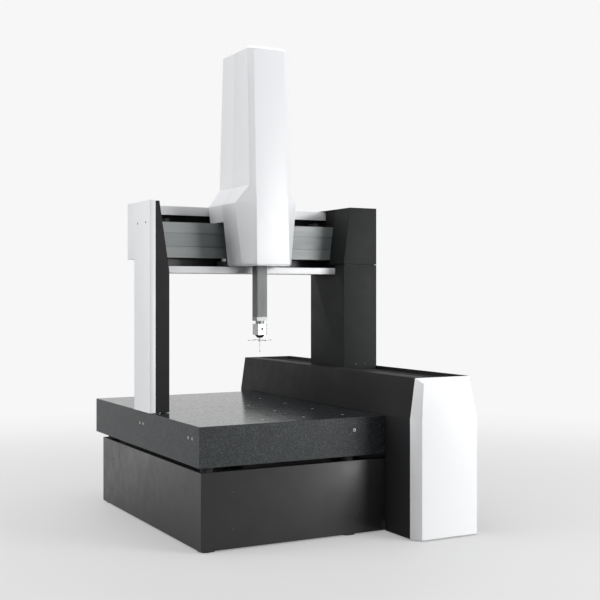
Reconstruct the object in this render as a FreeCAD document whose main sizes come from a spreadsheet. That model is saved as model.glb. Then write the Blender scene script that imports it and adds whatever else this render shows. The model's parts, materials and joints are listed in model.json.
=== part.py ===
import FreeCAD, Part
import os
import re
import Sketcher
from FreeCAD import Placement, Rotation, Vector

# Coordinate measuring machine of the moving-bridge kind, in millimetres.
# X runs along the bridge's beam, Y along the table, Z up from the floor.
# The origin is on the floor, in the middle of the machine's outline.

doc = FreeCAD.newDocument("MeasuringMachine")
sheet = doc.addObject("Spreadsheet::Sheet", "dims")

SIZES = {
    # table and stand
    "work_width": 1122, "guide_width": 434, "leg_overhang": 13,
    "nose_reach": 310, "table_length": 1700, "tail_reach": 185,
    "table_height": 650, "table_thickness": 212, "table_under_guide": 408, "table_chamfer": 3,
    "stand_inset": 14, "stand_setback": 8, "stand_length": 1592, "panel_rise": 11, "support_height": 38,
    "floor_gap": 8, "sheet_wall": 3, "panel_return": 25, "front_panel_tuck": 34,
    "frame_tube": 100, "frame_foot": 50,
    "mid_post_inset": 212, "right_post_inset": 59, "sill_rise": 30, "sill_height": 60,
    "foot_radius": 46, "foot_height": 20, "foot_stem": 14, "nut_radius": 24, "nut_height": 12,
    "support_radius": 44, "support_flange": 8, "support_waist": 34,
    # threaded inserts
    "insert_radius": 9, "insert_depth": 24, "insert_bore": 4.25, "insert_bore_depth": 20,
    "grid_columns": 4, "grid_rows": 5, "grid_first_x": 186, "grid_first_y": 150,
    "grid_step_x": 250, "grid_step_y": 350, "side_insert_drop": 70, "side_insert_pair": 54,
    "side_insert_first": 92, "side_insert_second": 825, "front_insert_first": 190,
    "front_insert_second": 925,
    # Y guide and its housing
    "rail_offset": 188, "rail_width": 120, "rail_height": 120, "rail_inset": 20, "rail_chamfer": 3,
    "crease_rise": 5, "housing_height": 224, "inner_lean": 68, "outer_lean": 36,
    "inner_lip": 30, "outer_lip": 12, "lip_depth": 46, "shelf": 6, "cover_wall": 4,
    "front_cover_depth": 60, "front_cover_drop": 26, "front_crease_drop": 10,
    "front_bevel": 31, "front_top_left": 6, "front_top_right": 43,
    "bellows_height": 22, "bellows_end": 4,
    "bar_offset": 58, "bar_width": 20, "bar_height": 30, "bar_rise": 40, "bar_block": 40,
    "scale_width": 12, "scale_thickness": 0.8, "scale_end": 40, "y_scale_drop": 9,
    "stop_post": 25, "stop_height": 100, "stop_buffer": 24, "buffer_radius": 14,
    "front_stop_inset": 97, "rear_stop_inset": 13, "x_travel": 350, "z_down_travel": 310, "z_up_travel": 290,
    # bridge
    "leg_depth": 260, "leg_cover_gap": 10, "bridge_rise": 110,
    "leg_strip": 35, "leg_cover_wall": 4, "leg_box_reach": 116, "leg_box_drop": 13,
    "leg_inner": 107, "leg_taper_drop": 83, "leg_taper": 60, "leg_fit": 0.3, "leg_frame_front": 5,
    "air_gap": 0.3, "leg_pad_height": 14, "leg_pad_radius": 42, "leg_pad_pitch": 128,
    "beam_setback": 186, "beam_depth": 135, "portal_height": 893, "beam_height": 209,
    "beam_wall": 14, "beam_groove": 2.5, "beam_end_gap": 9,
    "tray_drop": 92, "tray_lip": 39, "tray_setback": 111, "tray_wall": 3, "liner_wall": 2,
    "rear_gap": 47, "top_lip_rise": 52, "top_lip_depth": 42,
    "x_bar_height": 40, "x_bar_drop": 43, "x_bar_thickness": 10, "x_bar_start": 130, "x_bar_block": 30,
    "x_scale_inset": 15, "x_stop_height": 22, "x_stop_depth": 100,
    # tower
    "tower_offset": 138, "tower_width": 238, "tower_depth": 426, "tower_foot_gap": 6,
    "tower_rise": 4, "tower_joint_drop": 31, "joint_gap": 2.5, "tower_lean": 44,
    "tower_lean_drop": 17,
    "tower_wall": 4, "tower_frame_inset": 15, "tower_seat": 45,
    "cutout_gap": 3,
    # Y carriage under the tower
    "skirt_gap": 16, "skirt_width": 32, "skirt_clearance": 14, "saddle_gap": 15, "saddle_rise": 58,
    "saddle_overhang": 32, "wing_rise": 80, "wing_thickness": 15, "wing_reach": 72, "wing_length": 120,
    "pad_radius": 32, "top_pad_radius": 45, "pad_pitch": 350, "pad_rise": 65,
    "y_roller_radius": 18, "y_roller_height": 26, "shaft_radius": 5, "shaft_fit": 0.05,
    "y_motor_radius": 28, "y_motor_height": 75, "shaft_depth": 15, "roller_gap": 0.3,
    "readhead_length": 30, "read_gap": 0.6,
    # head carriage
    "carriage_rest": 680, "carriage_half": 140, "upper_plate_half": 112, "plate_gap": 10, "plate_thickness": 55,
    "plate_rise": 210, "arm_drop": 46, "arm_foot_gap": 18, "arm_foot_back": 10,
    "arm_top_gap": 13, "arm_top_thickness": 35, "arm_rear_gap": 16, "arm_rear_thickness": 24,
    "arm_rear_reach": 57, "beam_pad_radius": 28, "beam_pad_pitch": 100, "beam_pad_edge": 35,
    "ram_reach": 182, "ram_width": 68, "ram_depth": 66, "ram_wall": 7, "ram_chamfer": 3,
    "ram_out": 309, "ram_length": 1269, "guide_bore_width": 90, "guide_wall": 20, "guide_back_depth": 73,
    "guide_front_depth": 37, "guide_start": 40, "guide_length": 450, "ram_pad_radius": 20, "ram_pad_edge": 40,
    "strip_thickness": 6, "strip_width": 6, "strip_gap": 20, "strip_edge": 2,
    "z_roller_radius": 16, "z_roller_width": 10, "z_roller_rise": 25, "motor_plate": 8,
    "z_motor_radius": 25, "z_motor_length": 65, "motor_plate_height": 55,
    "x_roller_radius": 13, "x_roller_height": 30, "x_motor_radius": 14, "x_motor_height": 52,
    "x_motor_offset": 100, "small_shaft": 4,
    "cylinder_radius": 26, "cylinder_bore": 21, "cylinder_start": 5, "cylinder_length": 640,
    "cylinder_cap": 6, "piston_height": 20, "rod_radius": 6, "rod_fit": 0.05,
    "bracket_height": 10, "bracket_depth": 40,
    # head cover: widths are half widths, reaches are counted from the ram's axis
    "head_drop": 43, "shoulder_rise": 357, "waist_rise": 460, "head_height": 1275, "head_wall": 5,
    "head_notch_gap": 3, "seam_reach": 103, "seam_lean": 40, "seam_gap": 1.5, "head_corner": 12,
    "foot_front_half": 106, "foot_front": 183, "foot_side_half": 162, "foot_side": 93, "foot_back": 300,
    "shoulder_front_half": 101, "shoulder_front": 170, "shoulder_side_half": 200, "shoulder_side": 83,
    "shoulder_back": 317, "waist_front_half": 100, "waist_front": 157, "waist_side_half": 132,
    "waist_side": 135, "waist_back": 302, "top_front_half": 98, "top_front": 123,
    "top_side_half": 132, "top_side": 103, "top_back": 248, "arm_slot_gap": 6,
    "bottom_plate": 8, "bottom_inset": 5, "ram_opening": 100,
    # probe and stylus
    "adapter_neck": 18, "adapter_plate": 23, "adapter_neck_radius": 25, "adapter_width": 66,
    "probe_width": 68, "probe_height": 65, "probe_corner": 8, "probe_bore": 16,
    "cone_height": 17, "cone_top_radius": 30, "cone_bottom_radius": 15, "cone_bore": 9,
    "gimbal_radius": 14, "gimbal_bore": 7, "gimbal_height": 6, "gimbal_drop": 58, "pivot_gap": 1.0,
    "stem_radius": 4, "hub_radius": 9, "hub_drop": 90, "hub_height": 14, "stylus_radius": 1.5,
    "star_span": 72, "stylus_length": 73, "tip_radius": 3, "tip_seat": 0.2, "pivot_pin": 1.5,
    # control cabinet and fasteners
    "cabinet_inset": 48, "cabinet_width": 330, "cabinet_depth": 215, "cabinet_height": 520,
    "cabinet_setback": 20, "nose_beam_height": 60, "screw_radius": 4, "screw_head": 1.5,
    "panel_screw_inset": 180, "panel_screw_low_height": 108, "panel_screw_high_height": 299,
    "leg_screw_drop": 125, "leg_screw_inset": 65, "leg_screw_pitch": 135,
    "tower_screw_rise": 56, "tower_screw_inset": 88, "tower_screw_pitch": 62,
}

# Places that follow from the sizes above.
PLACES = {
    "table_left": "=(leg_overhang-work_width-guide_width)/2",
    "table_front": "=(nose_reach-table_length-tail_reach)/2",
    "table_back": "=table_front+table_length",
    "table_bottom": "=table_height-table_thickness",
    "frame_height": "=table_bottom-support_height",
    "stand_height": "=frame_height+panel_rise",
    "guide_left": "=table_left+work_width",
    "guide_right": "=guide_left+guide_width",
    "stand_left": "=table_left+stand_inset",
    "stand_front": "=table_front+stand_setback",
    "stand_back": "=stand_front+stand_length",
    "housing_front": "=table_front-nose_reach+front_cover_depth",
    "housing_back": "=table_back+tail_reach-cover_wall",
    "crease_height": "=table_height+crease_rise",
    "cover_height": "=table_height+housing_height",
    "slot_left": "=guide_left+inner_lean+inner_lip",
    "slot_right": "=guide_right-outer_lean-outer_lip",
    "slot_floor": "=cover_height-lip_depth",
    "bellows_bottom": "=slot_floor+cover_wall+air_gap",
    "rail_left": "=guide_left+rail_offset",
    "rail_right": "=rail_left+rail_width",
    "rail_top": "=table_height+rail_height",
    "bar_left": "=guide_left+bar_offset",
    "front_stop": "=table_front+front_stop_inset+stop_post",
    "rear_stop": "=table_back-rear_stop_inset-stop_post",
    "y_travel": "=(rear_stop-front_stop-2*stop_buffer-2-tower_depth-2*saddle_overhang)/2",
    "bridge_front": "=front_stop+stop_buffer+1+y_travel+saddle_overhang",
    "leg_outer": "=table_left-leg_overhang",
    "leg_back": "=bridge_front+leg_depth",
    "leg_frame_left": "=leg_outer+leg_cover_wall+leg_fit",
    "leg_frame_back": "=leg_back-leg_frame_front",
    "leg_inner_face": "=table_left+leg_inner",
    "leg_taper_height": "=beam_bottom-leg_taper_drop",
    "leg_box_height": "=beam_bottom-leg_box_drop",
    "leg_cover_height": "=beam_top+bridge_rise",
    "leg_screw_height": "=leg_cover_height-leg_screw_drop",
    "leg_seat_x": "=leg_inner_face-leg_taper*(beam_bottom-leg_taper_height)"
                  "/(leg_cover_height-leg_taper_height)",
    "beam_front": "=bridge_front+beam_setback",
    "beam_back": "=beam_front+beam_depth",
    "beam_bottom": "=table_height+portal_height",
    "beam_top": "=beam_bottom+beam_height",
    "beam_left": "=leg_outer+leg_cover_wall+beam_end_gap",
    "beam_right": "=tower_frame_left+tower_seat",
    "rear_cover_in": "=beam_back+rear_gap",
    "rear_cover_out": "=rear_cover_in+tray_wall",
    "tray_front": "=bridge_front+tray_setback",
    "tray_bottom": "=beam_bottom-tray_drop",
    "top_lip_bottom": "=beam_top+top_lip_rise",
    "tower_left": "=guide_left+tower_offset",
    "tower_right": "=tower_left+tower_width",
    "tower_frame_left": "=tower_left+tower_frame_inset",
    "tower_back": "=bridge_front+tower_depth",
    "tower_middle": "=bridge_front+tower_depth/2",
    "tower_foot": "=saddle_top+tower_foot_gap",
    "tower_height": "=leg_cover_height+tower_rise",
    "tower_joint": "=beam_bottom-tower_joint_drop",
    "tower_lean_start": "=beam_bottom-tower_lean_drop",
    "tower_screw_height": "=tower_foot+tower_screw_rise",
    "saddle_left": "=rail_left-skirt_gap-skirt_width",
    "saddle_right": "=rail_right+skirt_gap+skirt_width",
    "saddle_front": "=bridge_front-saddle_overhang",
    "saddle_back": "=tower_back+saddle_overhang",
    "saddle_top": "=rail_top+saddle_rise",
    "wing_height": "=table_height+wing_rise",
    "y_roller_x": "=bar_left+bar_width+roller_gap+y_roller_radius",
    "head_x": "=table_left+carriage_rest",
    "plate_back": "=beam_front-plate_gap",
    "plate_front": "=plate_back-plate_thickness",
    "arm_rear_in": "=beam_back+arm_rear_gap",
    "arm_top": "=beam_top+arm_top_gap+arm_top_thickness",
    "arm_bottom": "=beam_bottom-arm_drop",
    "arm_rear_end": "=beam_bottom+arm_rear_reach",
    "plate_top": "=arm_top+plate_rise",
    "ram_y": "=beam_front-ram_reach",
    "ram_left": "=head_x-ram_width/2",
    "ram_right": "=head_x+ram_width/2",
    "ram_front": "=ram_y-ram_depth/2",
    "ram_back": "=ram_y+ram_depth/2",
    "guide_half": "=guide_bore_width/2+guide_wall",
    "seam_y": "=ram_y+seam_reach",
    "head_foot": "=beam_bottom-head_drop",
    "head_shoulder": "=head_foot+shoulder_rise",
    "head_waist": "=head_foot+waist_rise",
    "head_top": "=head_foot+head_height",
    "head_notch": "=beam_top+head_notch_gap",
    "guide_bottom": "=head_foot+guide_start",
    "guide_top": "=guide_bottom+guide_length",
    "ram_bottom": "=head_foot-ram_out",
    "ram_top": "=ram_bottom+ram_length",
    "x_roller_x": "=head_x+x_motor_offset",
    "x_bar_back": "=rear_cover_in-6",
    "x_bar_front": "=x_bar_back-x_bar_thickness",
    "x_bar_bottom": "=beam_bottom-x_bar_drop",
    "x_roller_y": "=x_bar_front-roller_gap-x_roller_radius",
    "z_roller_x": "=ram_left-strip_thickness-roller_gap-z_roller_radius",
    "z_roller_z": "=guide_top+z_roller_rise",
    "strip_front": "=ram_front+strip_edge",
    "strip_start": "=head_foot+strip_gap",
    "cylinder_x": "=head_x+guide_half+air_gap+cylinder_radius",
    "cylinder_bottom": "=head_foot+cylinder_start",
    "cylinder_top": "=cylinder_bottom+cylinder_length",
    "piston_bottom": "=cylinder_bottom+cylinder_cap+z_down_travel+3",
    "probe_top": "=ram_bottom-adapter_neck-adapter_plate",
    "probe_bottom": "=probe_top-probe_height",
    "cone_bottom": "=probe_bottom-cone_height",
    "gimbal_level": "=probe_top-gimbal_drop",
    "hub_top": "=probe_top-hub_drop",
    "stylus_tip_height": "=hub_top-stylus_length",
    "star_level": "=hub_top-hub_height/2",
}


def fill_sheet():
    """Write every size and place to the sheet, each with its own alias."""
    cells = {**SIZES, **PLACES}
    for row, (alias, content) in enumerate(cells.items(), start=1):
        sheet.set(f"A{row}", alias)
        sheet.set(f"B{row}", str(content))
        sheet.setAlias(f"B{row}", alias)
    doc.recompute()


WORD = re.compile(r"[a-z][a-z_]*")
ALIASES = set(SIZES) | set(PLACES)


def linked(formula):
    """The formula with each of the sheet's names written as a link to the sheet."""
    return WORD.sub(lambda word: "dims." + word.group() if word.group() in ALIASES else word.group(),
                    formula)


def bind(item, prop, formula):
    item.setExpression(prop, linked(formula))


def number(formula):
    return float(sheet.evalExpression(linked(formula)))


def place(item, x, y, z):
    """Put an object at a point given by three formulas."""
    bind(item, ".Placement.Base.x", x)
    bind(item, ".Placement.Base.y", y)
    bind(item, ".Placement.Base.z", z)


def block(label, x_low, x_high, y_low, y_high, z_low, z_high):
    """A box between three pairs of planes."""
    item = doc.addObject("Part::Box", label)
    bind(item, "Length", f"({x_high})-({x_low})")
    bind(item, "Width", f"({y_high})-({y_low})")
    bind(item, "Height", f"({z_high})-({z_low})")
    place(item, x_low, y_low, z_low)
    return item


TURNS = {"Z": Rotation(), "X": Rotation(Vector(0, 1, 0), 90), "Y": Rotation(Vector(1, 0, 0), -90)}


def rod(label, axis, radius, length, x, y, z):
    """A cylinder that starts at a point and runs along +X, +Y or +Z."""
    item = doc.addObject("Part::Cylinder", label)
    item.Placement = Placement(Vector(), TURNS[axis])
    bind(item, "Radius", radius)
    bind(item, "Height", length)
    place(item, x, y, z)
    return item


def cone(label, low_radius, high_radius, length, x, y, z):
    """An upright cone from its lower radius to its upper one."""
    item = doc.addObject("Part::Cone", label)
    bind(item, "Radius1", low_radius)
    bind(item, "Radius2", high_radius)
    bind(item, "Height", length)
    place(item, x, y, z)
    return item


def ball(label, radius, x, y, z):
    item = doc.addObject("Part::Sphere", label)
    bind(item, "Radius", radius)
    place(item, x, y, z)
    return item


def cut(label, base, tool):
    item = doc.addObject("Part::Cut", label)
    item.Base = base
    item.Tool = tool
    return item


def common(label, base, tool):
    item = doc.addObject("Part::Common", label)
    item.Base = base
    item.Tool = tool
    return item


def fuse(label, pieces):
    item = doc.addObject("Part::MultiFuse", label)
    item.Shapes = pieces
    item.Refine = True
    return item


def group(label, pieces):
    """Separate solids that share one sub-part."""
    item = doc.addObject("Part::Compound", label)
    item.Links = pieces
    return item


def polygon(sketch, points):
    """Draw a closed outline whose corners are bound to pairs of formulas."""
    corners = [Vector(number(across), number(along), 0) for across, along in points]
    for start, end in zip(corners, corners[1:] + corners[:1]):
        sketch.addGeometry(Part.LineSegment(start, end), False)
    count = len(corners)
    for index in range(count):
        sketch.addConstraint(Sketcher.Constraint("Coincident", index, 2, (index + 1) % count, 1))
    for index, (across, along) in enumerate(points):
        for kind, value, formula in (("DistanceX", corners[index].x, across),
                                     ("DistanceY", corners[index].y, along)):
            place_id = sketch.addConstraint(Sketcher.Constraint(kind, -1, 1, index, 1, value))
            bind(sketch, f"Constraints[{place_id}]", formula)


def circles(sketch, radius, centres):
    """Draw equal circles whose centres are bound to pairs of formulas."""
    for index, (across, along) in enumerate(centres):
        middle = Vector(number(across), number(along), 0)
        sketch.addGeometry(Part.Circle(middle, Vector(0, 0, 1), number(radius)), False)
        for kind, value, formula in (("DistanceX", middle.x, across), ("DistanceY", middle.y, along)):
            place_id = sketch.addConstraint(Sketcher.Constraint(kind, -1, 1, index, 3, value))
            bind(sketch, f"Constraints[{place_id}]", formula)
        size_id = sketch.addConstraint(Sketcher.Constraint("Radius", index, number(radius)))
        bind(sketch, f"Constraints[{size_id}]", radius)


def body_sketch(body, plane, level):
    """A sketch on one of the body's origin planes, moved along its normal to a level."""
    sketch = body.newObject("Sketcher::SketchObject", body.Name + "_sketch")
    support = [item for item in body.Origin.OriginFeatures if item.Role == plane][0]
    sketch.AttachmentSupport = [(support, "")]
    sketch.MapMode = "FlatFace"
    sign = "-" if plane == "XZ_Plane" else ""
    bind(sketch, ".AttachmentOffset.Base.z", f"{sign}({level})")
    return sketch


def prism(label, plane, low, high, points):
    """A body padded from an outline between two levels along the plane's axis."""
    body = doc.addObject("PartDesign::Body", label)
    sketch = body_sketch(body, plane, high if plane == "XZ_Plane" else low)
    polygon(sketch, points)
    pad = body.newObject("PartDesign::Pad", label + "_pad")
    pad.Profile = sketch
    bind(pad, "Length", f"({high})-({low})")
    return body


def pocket(body, plane, level, depth, draw):
    """Cut a sketched shape into the body, against the sketch plane's normal."""
    sketch = body_sketch(body, plane, level)
    draw(sketch)
    hole = body.newObject("PartDesign::Pocket", body.Name + "_pocket")
    hole.Profile = sketch
    bind(hole, "Length", depth)
    return hole


def bevel(body, size, chosen):
    """Chamfer the body's edges that the rule picks."""
    doc.recompute()
    tip = body.Tip
    edges = [f"Edge{index}" for index, edge in enumerate(tip.Shape.Edges, start=1) if chosen(edge)]
    chamfer = body.newObject("PartDesign::Chamfer", body.Name + "_chamfer")
    chamfer.Base = (tip, edges)
    bind(chamfer, "Size", size)
    return chamfer


def runs_along(edge, axis):
    """Whether a straight edge runs along the axis."""
    if len(edge.Vertexes) != 2:
        return False
    run = edge.Vertexes[1].Point - edge.Vertexes[0].Point
    return run.cross(axis).Length < 1e-6 and run.Length > 1e-6


def at_height(edge, height):
    return all(abs(vertex.Z - height) < 1e-6 for vertex in edge.Vertexes)


def outline(label, plane, level, points):
    """A free-standing sketch for a loft, upright across Y or level across Z."""
    sketch = doc.addObject("Sketcher::SketchObject", label)
    if plane == "XZ_Plane":
        sketch.Placement = Placement(Vector(), Rotation(Vector(1, 0, 0), 90))
        bind(sketch, ".Placement.Base.y", level)
    else:
        bind(sketch, ".Placement.Base.z", level)
    polygon(sketch, points)
    return sketch


def loft(label, sections):
    item = doc.addObject("Part::Loft", label)
    item.Sections = sections
    item.Solid = True
    item.Ruled = True
    return item


def rectangle(x_low, x_high, y_low, y_high):
    return [(x_low, y_low), (x_high, y_low), (x_high, y_high), (x_low, y_high)]


parts = {}


def keep(item):
    """Name an object as a sub-part of the machine."""
    item.Label = item.Name
    parts[item.Name] = item
    return item


# ---------------------------------------------------------------- stand


POSTS = ["stand_left+sheet_wall", "guide_left-mid_post_inset-frame_tube/2",
         "guide_right-right_post_inset-frame_tube"]
ROWS = ["stand_front+sheet_wall", "stand_back-sheet_wall-frame_tube"]


def base_frame():
    """Welded tubes: posts in two rows, beams across each row and rails between them."""
    tubes = []
    beam = "frame_height-frame_tube"
    for row, front in enumerate(ROWS):
        tubes.append(block(f"cross_beam_{row}", POSTS[0], POSTS[2] + "+frame_tube",
                           front, front + "+frame_tube", beam, "frame_height"))
        for column, left in enumerate(POSTS):
            tubes.append(block(f"post_{row}{column}", left, left + "+frame_tube",
                               front, front + "+frame_tube", "frame_foot", beam))
    for column, left in enumerate(POSTS):
        tubes.append(block(f"rail_{column}", left, left + "+frame_tube",
                           ROWS[0] + "+frame_tube", ROWS[1], beam, "frame_height"))
        tubes.append(block(f"sill_{column}", left, left + "+frame_tube",
                           ROWS[0] + "+frame_tube", ROWS[1],
                           "frame_foot+sill_rise", "frame_foot+sill_rise+sill_height"))
    nose_top = "frame_foot+nose_beam_height"
    tubes.append(block("nose_sill", POSTS[1] + "+frame_tube", POSTS[2], ROWS[0],
                       ROWS[0] + "+frame_tube", "frame_foot", nose_top))
    for side, left in enumerate(["guide_left+cabinet_inset", POSTS[2] + "+frame_tube-nose_beam_height"]):
        tubes.append(block(f"nose_beam_{side}", left, left + "+nose_beam_height",
                           "housing_front+cabinet_setback", ROWS[0], "frame_foot", nose_top))
    keep(group("base_frame", tubes))


def levelling_feet():
    """A screwed foot with its lock nut under every post."""
    feet = []
    for row, front in enumerate(ROWS):
        for column, left in enumerate(POSTS):
            x = left + "+frame_tube/2"
            y = front + "+frame_tube/2"
            name = f"foot_{row}{column}"
            pad = cone(name + "_pad", "foot_radius", "foot_radius*0.8", "foot_height", x, y, "0")
            stem = rod(name + "_stem", "Z", "foot_stem", "frame_foot-foot_height", x, y, "foot_height")
            nut = doc.addObject("Part::Prism", name + "_nut")
            nut.Polygon = 6
            bind(nut, "Circumradius", "nut_radius")
            bind(nut, "Height", "nut_height")
            place(nut, x, y, "frame_foot-nut_height")
            feet.append(fuse(name, [pad, stem, nut]))
    keep(group("levelling_feet", feet))


def granite_supports():
    """Rubber and steel mounts between the frame and the granite."""
    mounts = []
    for row, front in enumerate(ROWS):
        for column, left in enumerate(POSTS):
            x = left + "+frame_tube/2"
            y = front + "+frame_tube/2"
            name = f"support_{row}{column}"
            low = rod(name + "_low", "Z", "support_radius", "support_flange", x, y, "frame_height")
            core = rod(name + "_core", "Z", "support_waist", "table_bottom-frame_height",
                       x, y, "frame_height")
            high = rod(name + "_high", "Z", "support_radius", "support_flange",
                       x, y, "table_bottom-support_flange")
            mounts.append(fuse(name, [low, core, high]))
    keep(group("granite_supports", mounts))


def stand_panels():
    """Sheet panels hung on the frame; the rear one has a return at its free end."""
    keep(prism("base_front_panel", "XY_Plane", "floor_gap", "stand_height",
               rectangle("stand_left", "guide_left+front_panel_tuck",
                         "stand_front", "stand_front+sheet_wall")))
    right = "guide_right-cover_wall-panel_return"
    keep(prism("base_rear_panel", "XY_Plane", "floor_gap", "stand_height", [
        ("stand_left", "stand_back"), (right, "stand_back"), (right, "stand_back-panel_return"),
        (right + "-sheet_wall", "stand_back-panel_return"),
        (right + "-sheet_wall", "stand_back-sheet_wall"), ("stand_left", "stand_back-sheet_wall")]))
    keep(prism("base_left_panel", "XY_Plane", "floor_gap", "stand_height",
               rectangle("stand_left", "stand_left+sheet_wall",
                         "stand_front+sheet_wall", "stand_back-sheet_wall")))


# ---------------------------------------------------------------- granite table


def grid_points():
    """Places of the threaded inserts in the table's top, row by row."""
    columns = range(SIZES["grid_columns"])
    rows = range(SIZES["grid_rows"])
    return [(f"table_left+grid_first_x+{column}*grid_step_x",
             f"table_front+grid_first_y+{row}*grid_step_y") for row in rows for column in columns]


SIDE_HEIGHT = "table_height-side_insert_drop"
LEFT_INSERTS = ["table_front+side_insert_first", "table_front+side_insert_first+side_insert_pair",
                "table_front+side_insert_second", "table_front+side_insert_second+side_insert_pair"]
FRONT_INSERTS = ["table_left+front_insert_first", "table_left+front_insert_second"]


def granite_table():
    """The lapped granite plate, drilled for its threaded inserts."""
    body = prism("granite_table", "XY_Plane", "table_bottom", "table_height",
                 rectangle("table_left", "guide_left+table_under_guide", "table_front", "table_back"))
    bevel(body, "table_chamfer", lambda edge: at_height(edge, number("table_height")))
    pocket(body, "XY_Plane", "table_height", "insert_depth",
           lambda sketch: circles(sketch, "insert_radius", grid_points()))
    left = pocket(body, "YZ_Plane", "table_left", "insert_depth",
                  lambda sketch: circles(sketch, "insert_radius", [(y, SIDE_HEIGHT) for y in LEFT_INSERTS]))
    left.Reversed = True
    pocket(body, "XZ_Plane", "table_front", "insert_depth",
           lambda sketch: circles(sketch, "insert_radius", [(x, SIDE_HEIGHT) for x in FRONT_INSERTS]))
    keep(body)


def table_inserts():
    """Steel inserts: threaded ones in the top, closed lifting sockets in the sides."""
    inserts = []
    for index, (x, y) in enumerate(grid_points()):
        sleeve = rod(f"insert_{index}_sleeve", "Z", "insert_radius", "insert_depth",
                     x, y, "table_height-insert_depth")
        thread = rod(f"insert_{index}_thread", "Z", "insert_bore", "insert_bore_depth",
                     x, y, "table_height-insert_bore_depth")
        inserts.append(cut(f"insert_{index}", sleeve, thread))
    for index, y in enumerate(LEFT_INSERTS):
        inserts.append(rod(f"left_insert_{index}", "X", "insert_radius", "insert_depth",
                           "table_left", y, SIDE_HEIGHT))
    for index, x in enumerate(FRONT_INSERTS):
        inserts.append(rod(f"front_insert_{index}", "Y", "insert_radius", "insert_depth",
                           x, "table_front", SIDE_HEIGHT))
    keep(group("table_inserts", inserts))


# ---------------------------------------------------------------- Y guide and housing


def y_guide():
    """Guide rail on the granite, with its scale, drive bar and end stops."""
    rail = prism("y_guide_rail", "XZ_Plane", "table_front+rail_inset", "table_back-rail_inset",
                 rectangle("rail_left", "rail_right", "table_height", "rail_top"))
    bevel(rail, "rail_chamfer", lambda edge: at_height(edge, number("rail_top"))
          and runs_along(edge, Vector(0, 1, 0)))
    keep(rail)
    keep(block("y_scale", "rail_left-scale_thickness", "rail_left",
               "table_front+rail_inset+scale_end", "table_back-rail_inset-scale_end",
               "rail_top-y_scale_drop-scale_width", "rail_top-y_scale_drop"))
    low = "table_height+bar_rise"
    bar = block("y_bar", "bar_left", "bar_left+bar_width",
                "table_front+rail_inset", "table_back-rail_inset", low, low + "+bar_height")
    blocks = [block("bar_block_front", "bar_left-bar_width/4", "bar_left+bar_width*1.25",
                    "table_front+rail_inset", "table_front+rail_inset+bar_block", "table_height", low),
              block("bar_block_rear", "bar_left-bar_width/4", "bar_left+bar_width*1.25",
                    "table_back-rail_inset-bar_block", "table_back-rail_inset", "table_height", low)]
    keep(fuse("y_drive_bar", [bar] + blocks))
    stops = []
    middle = "saddle_left+skirt_width/2"
    height = "table_height+stop_height*0.7"
    for name, y_low, y_high, start in (
            ("stop_in_front", "front_stop-stop_post", "front_stop", "front_stop"),
            ("stop_behind", "rear_stop", "rear_stop+stop_post", "rear_stop-stop_buffer")):
        post = block(name + "_post", "saddle_left", "saddle_left+skirt_width", y_low, y_high,
                     "table_height", "table_height+stop_height")
        buffer = rod(name + "_buffer", "Y", "buffer_radius", "stop_buffer", middle, start, height)
        stops.append(fuse(name, [post, buffer]))
    keep(group("y_end_stops", stops))


def lip(side, edge, sign):
    """Corners of a side cover's top lip, which turns down into the slot and ends in a shelf."""
    top = "cover_height"
    floor = "slot_floor"
    return [(edge, top), (edge, floor + "+cover_wall"),
            (f"{edge}{sign}shelf", floor + "+cover_wall"), (f"{edge}{sign}shelf", floor),
            (f"{edge}{side}cover_wall", floor), (f"{edge}{side}cover_wall", top + "-cover_wall")]


def housing_covers():
    """Sheet covers along the Y guide: leaning side walls, turned-in lips and an end plate."""
    inner_top = "guide_left+inner_lean"
    inner_skin = prism("inner_skin", "XZ_Plane", "housing_front", "housing_back", [
        ("guide_left", "table_height"), ("guide_left", "crease_height"), (inner_top, "cover_height")]
        + lip("-", "slot_left", "+")
        + [(inner_top + "+cover_wall-inner_lean*cover_wall/(cover_height-crease_height)",
            "cover_height-cover_wall"),
           ("guide_left+cover_wall", "crease_height"), ("guide_left+cover_wall", "table_height")])
    nose_wall = block("nose_wall", "guide_left", "guide_left+cover_wall",
                      "housing_front", "table_front-2", "floor_gap", "table_height")
    tail_wall = block("tail_wall", "guide_left", "guide_left+cover_wall",
                      "table_back+2", "housing_back", "floor_gap", "table_height")
    keep(fuse("y_inner_cover", [inner_skin, nose_wall, tail_wall]))

    outer_top = "guide_right-outer_lean"
    keep(prism("y_outer_cover", "XZ_Plane", "housing_front", "housing_back", [
        ("guide_right", "floor_gap"), ("guide_right", "crease_height"), (outer_top, "cover_height")]
        + lip("+", "slot_right", "-")
        + [(outer_top + "-cover_wall+outer_lean*cover_wall/(cover_height-crease_height)",
            "cover_height-cover_wall"),
           ("guide_right-cover_wall", "crease_height"), ("guide_right-cover_wall", "floor_gap")]))

    keep(prism("y_rear_cover", "XZ_Plane", "housing_back", "housing_back+cover_wall",
               housing_section("0")))


def housing_section(inset):
    """The housing's cross-section, smaller all round by an inset."""
    low = f"floor_gap+{inset}"
    high = f"cover_height-{inset}"
    left = f"guide_left+{inset}"
    right = f"guide_right-{inset}"
    return [(left, low), (right, low), (right, "crease_height"), (f"{right}-outer_lean", high),
            (f"{left}+inner_lean", high), (left, "crease_height")]


def front_section(inset):
    """The white front cover's face, narrower and lower than the housing behind it."""
    low = f"floor_gap+{inset}"
    high = f"cover_height-front_cover_drop-{inset}"
    left = f"guide_left+front_bevel+{inset}"
    right = f"guide_right-front_bevel-{inset}"
    crease = "crease_height-front_crease_drop"
    return [(left, low), (right, low), (right, crease),
            (f"guide_right-outer_lean-front_top_right-{inset}", high),
            (f"guide_left+inner_lean-front_top_left+{inset}", high), (left, crease)]


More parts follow.
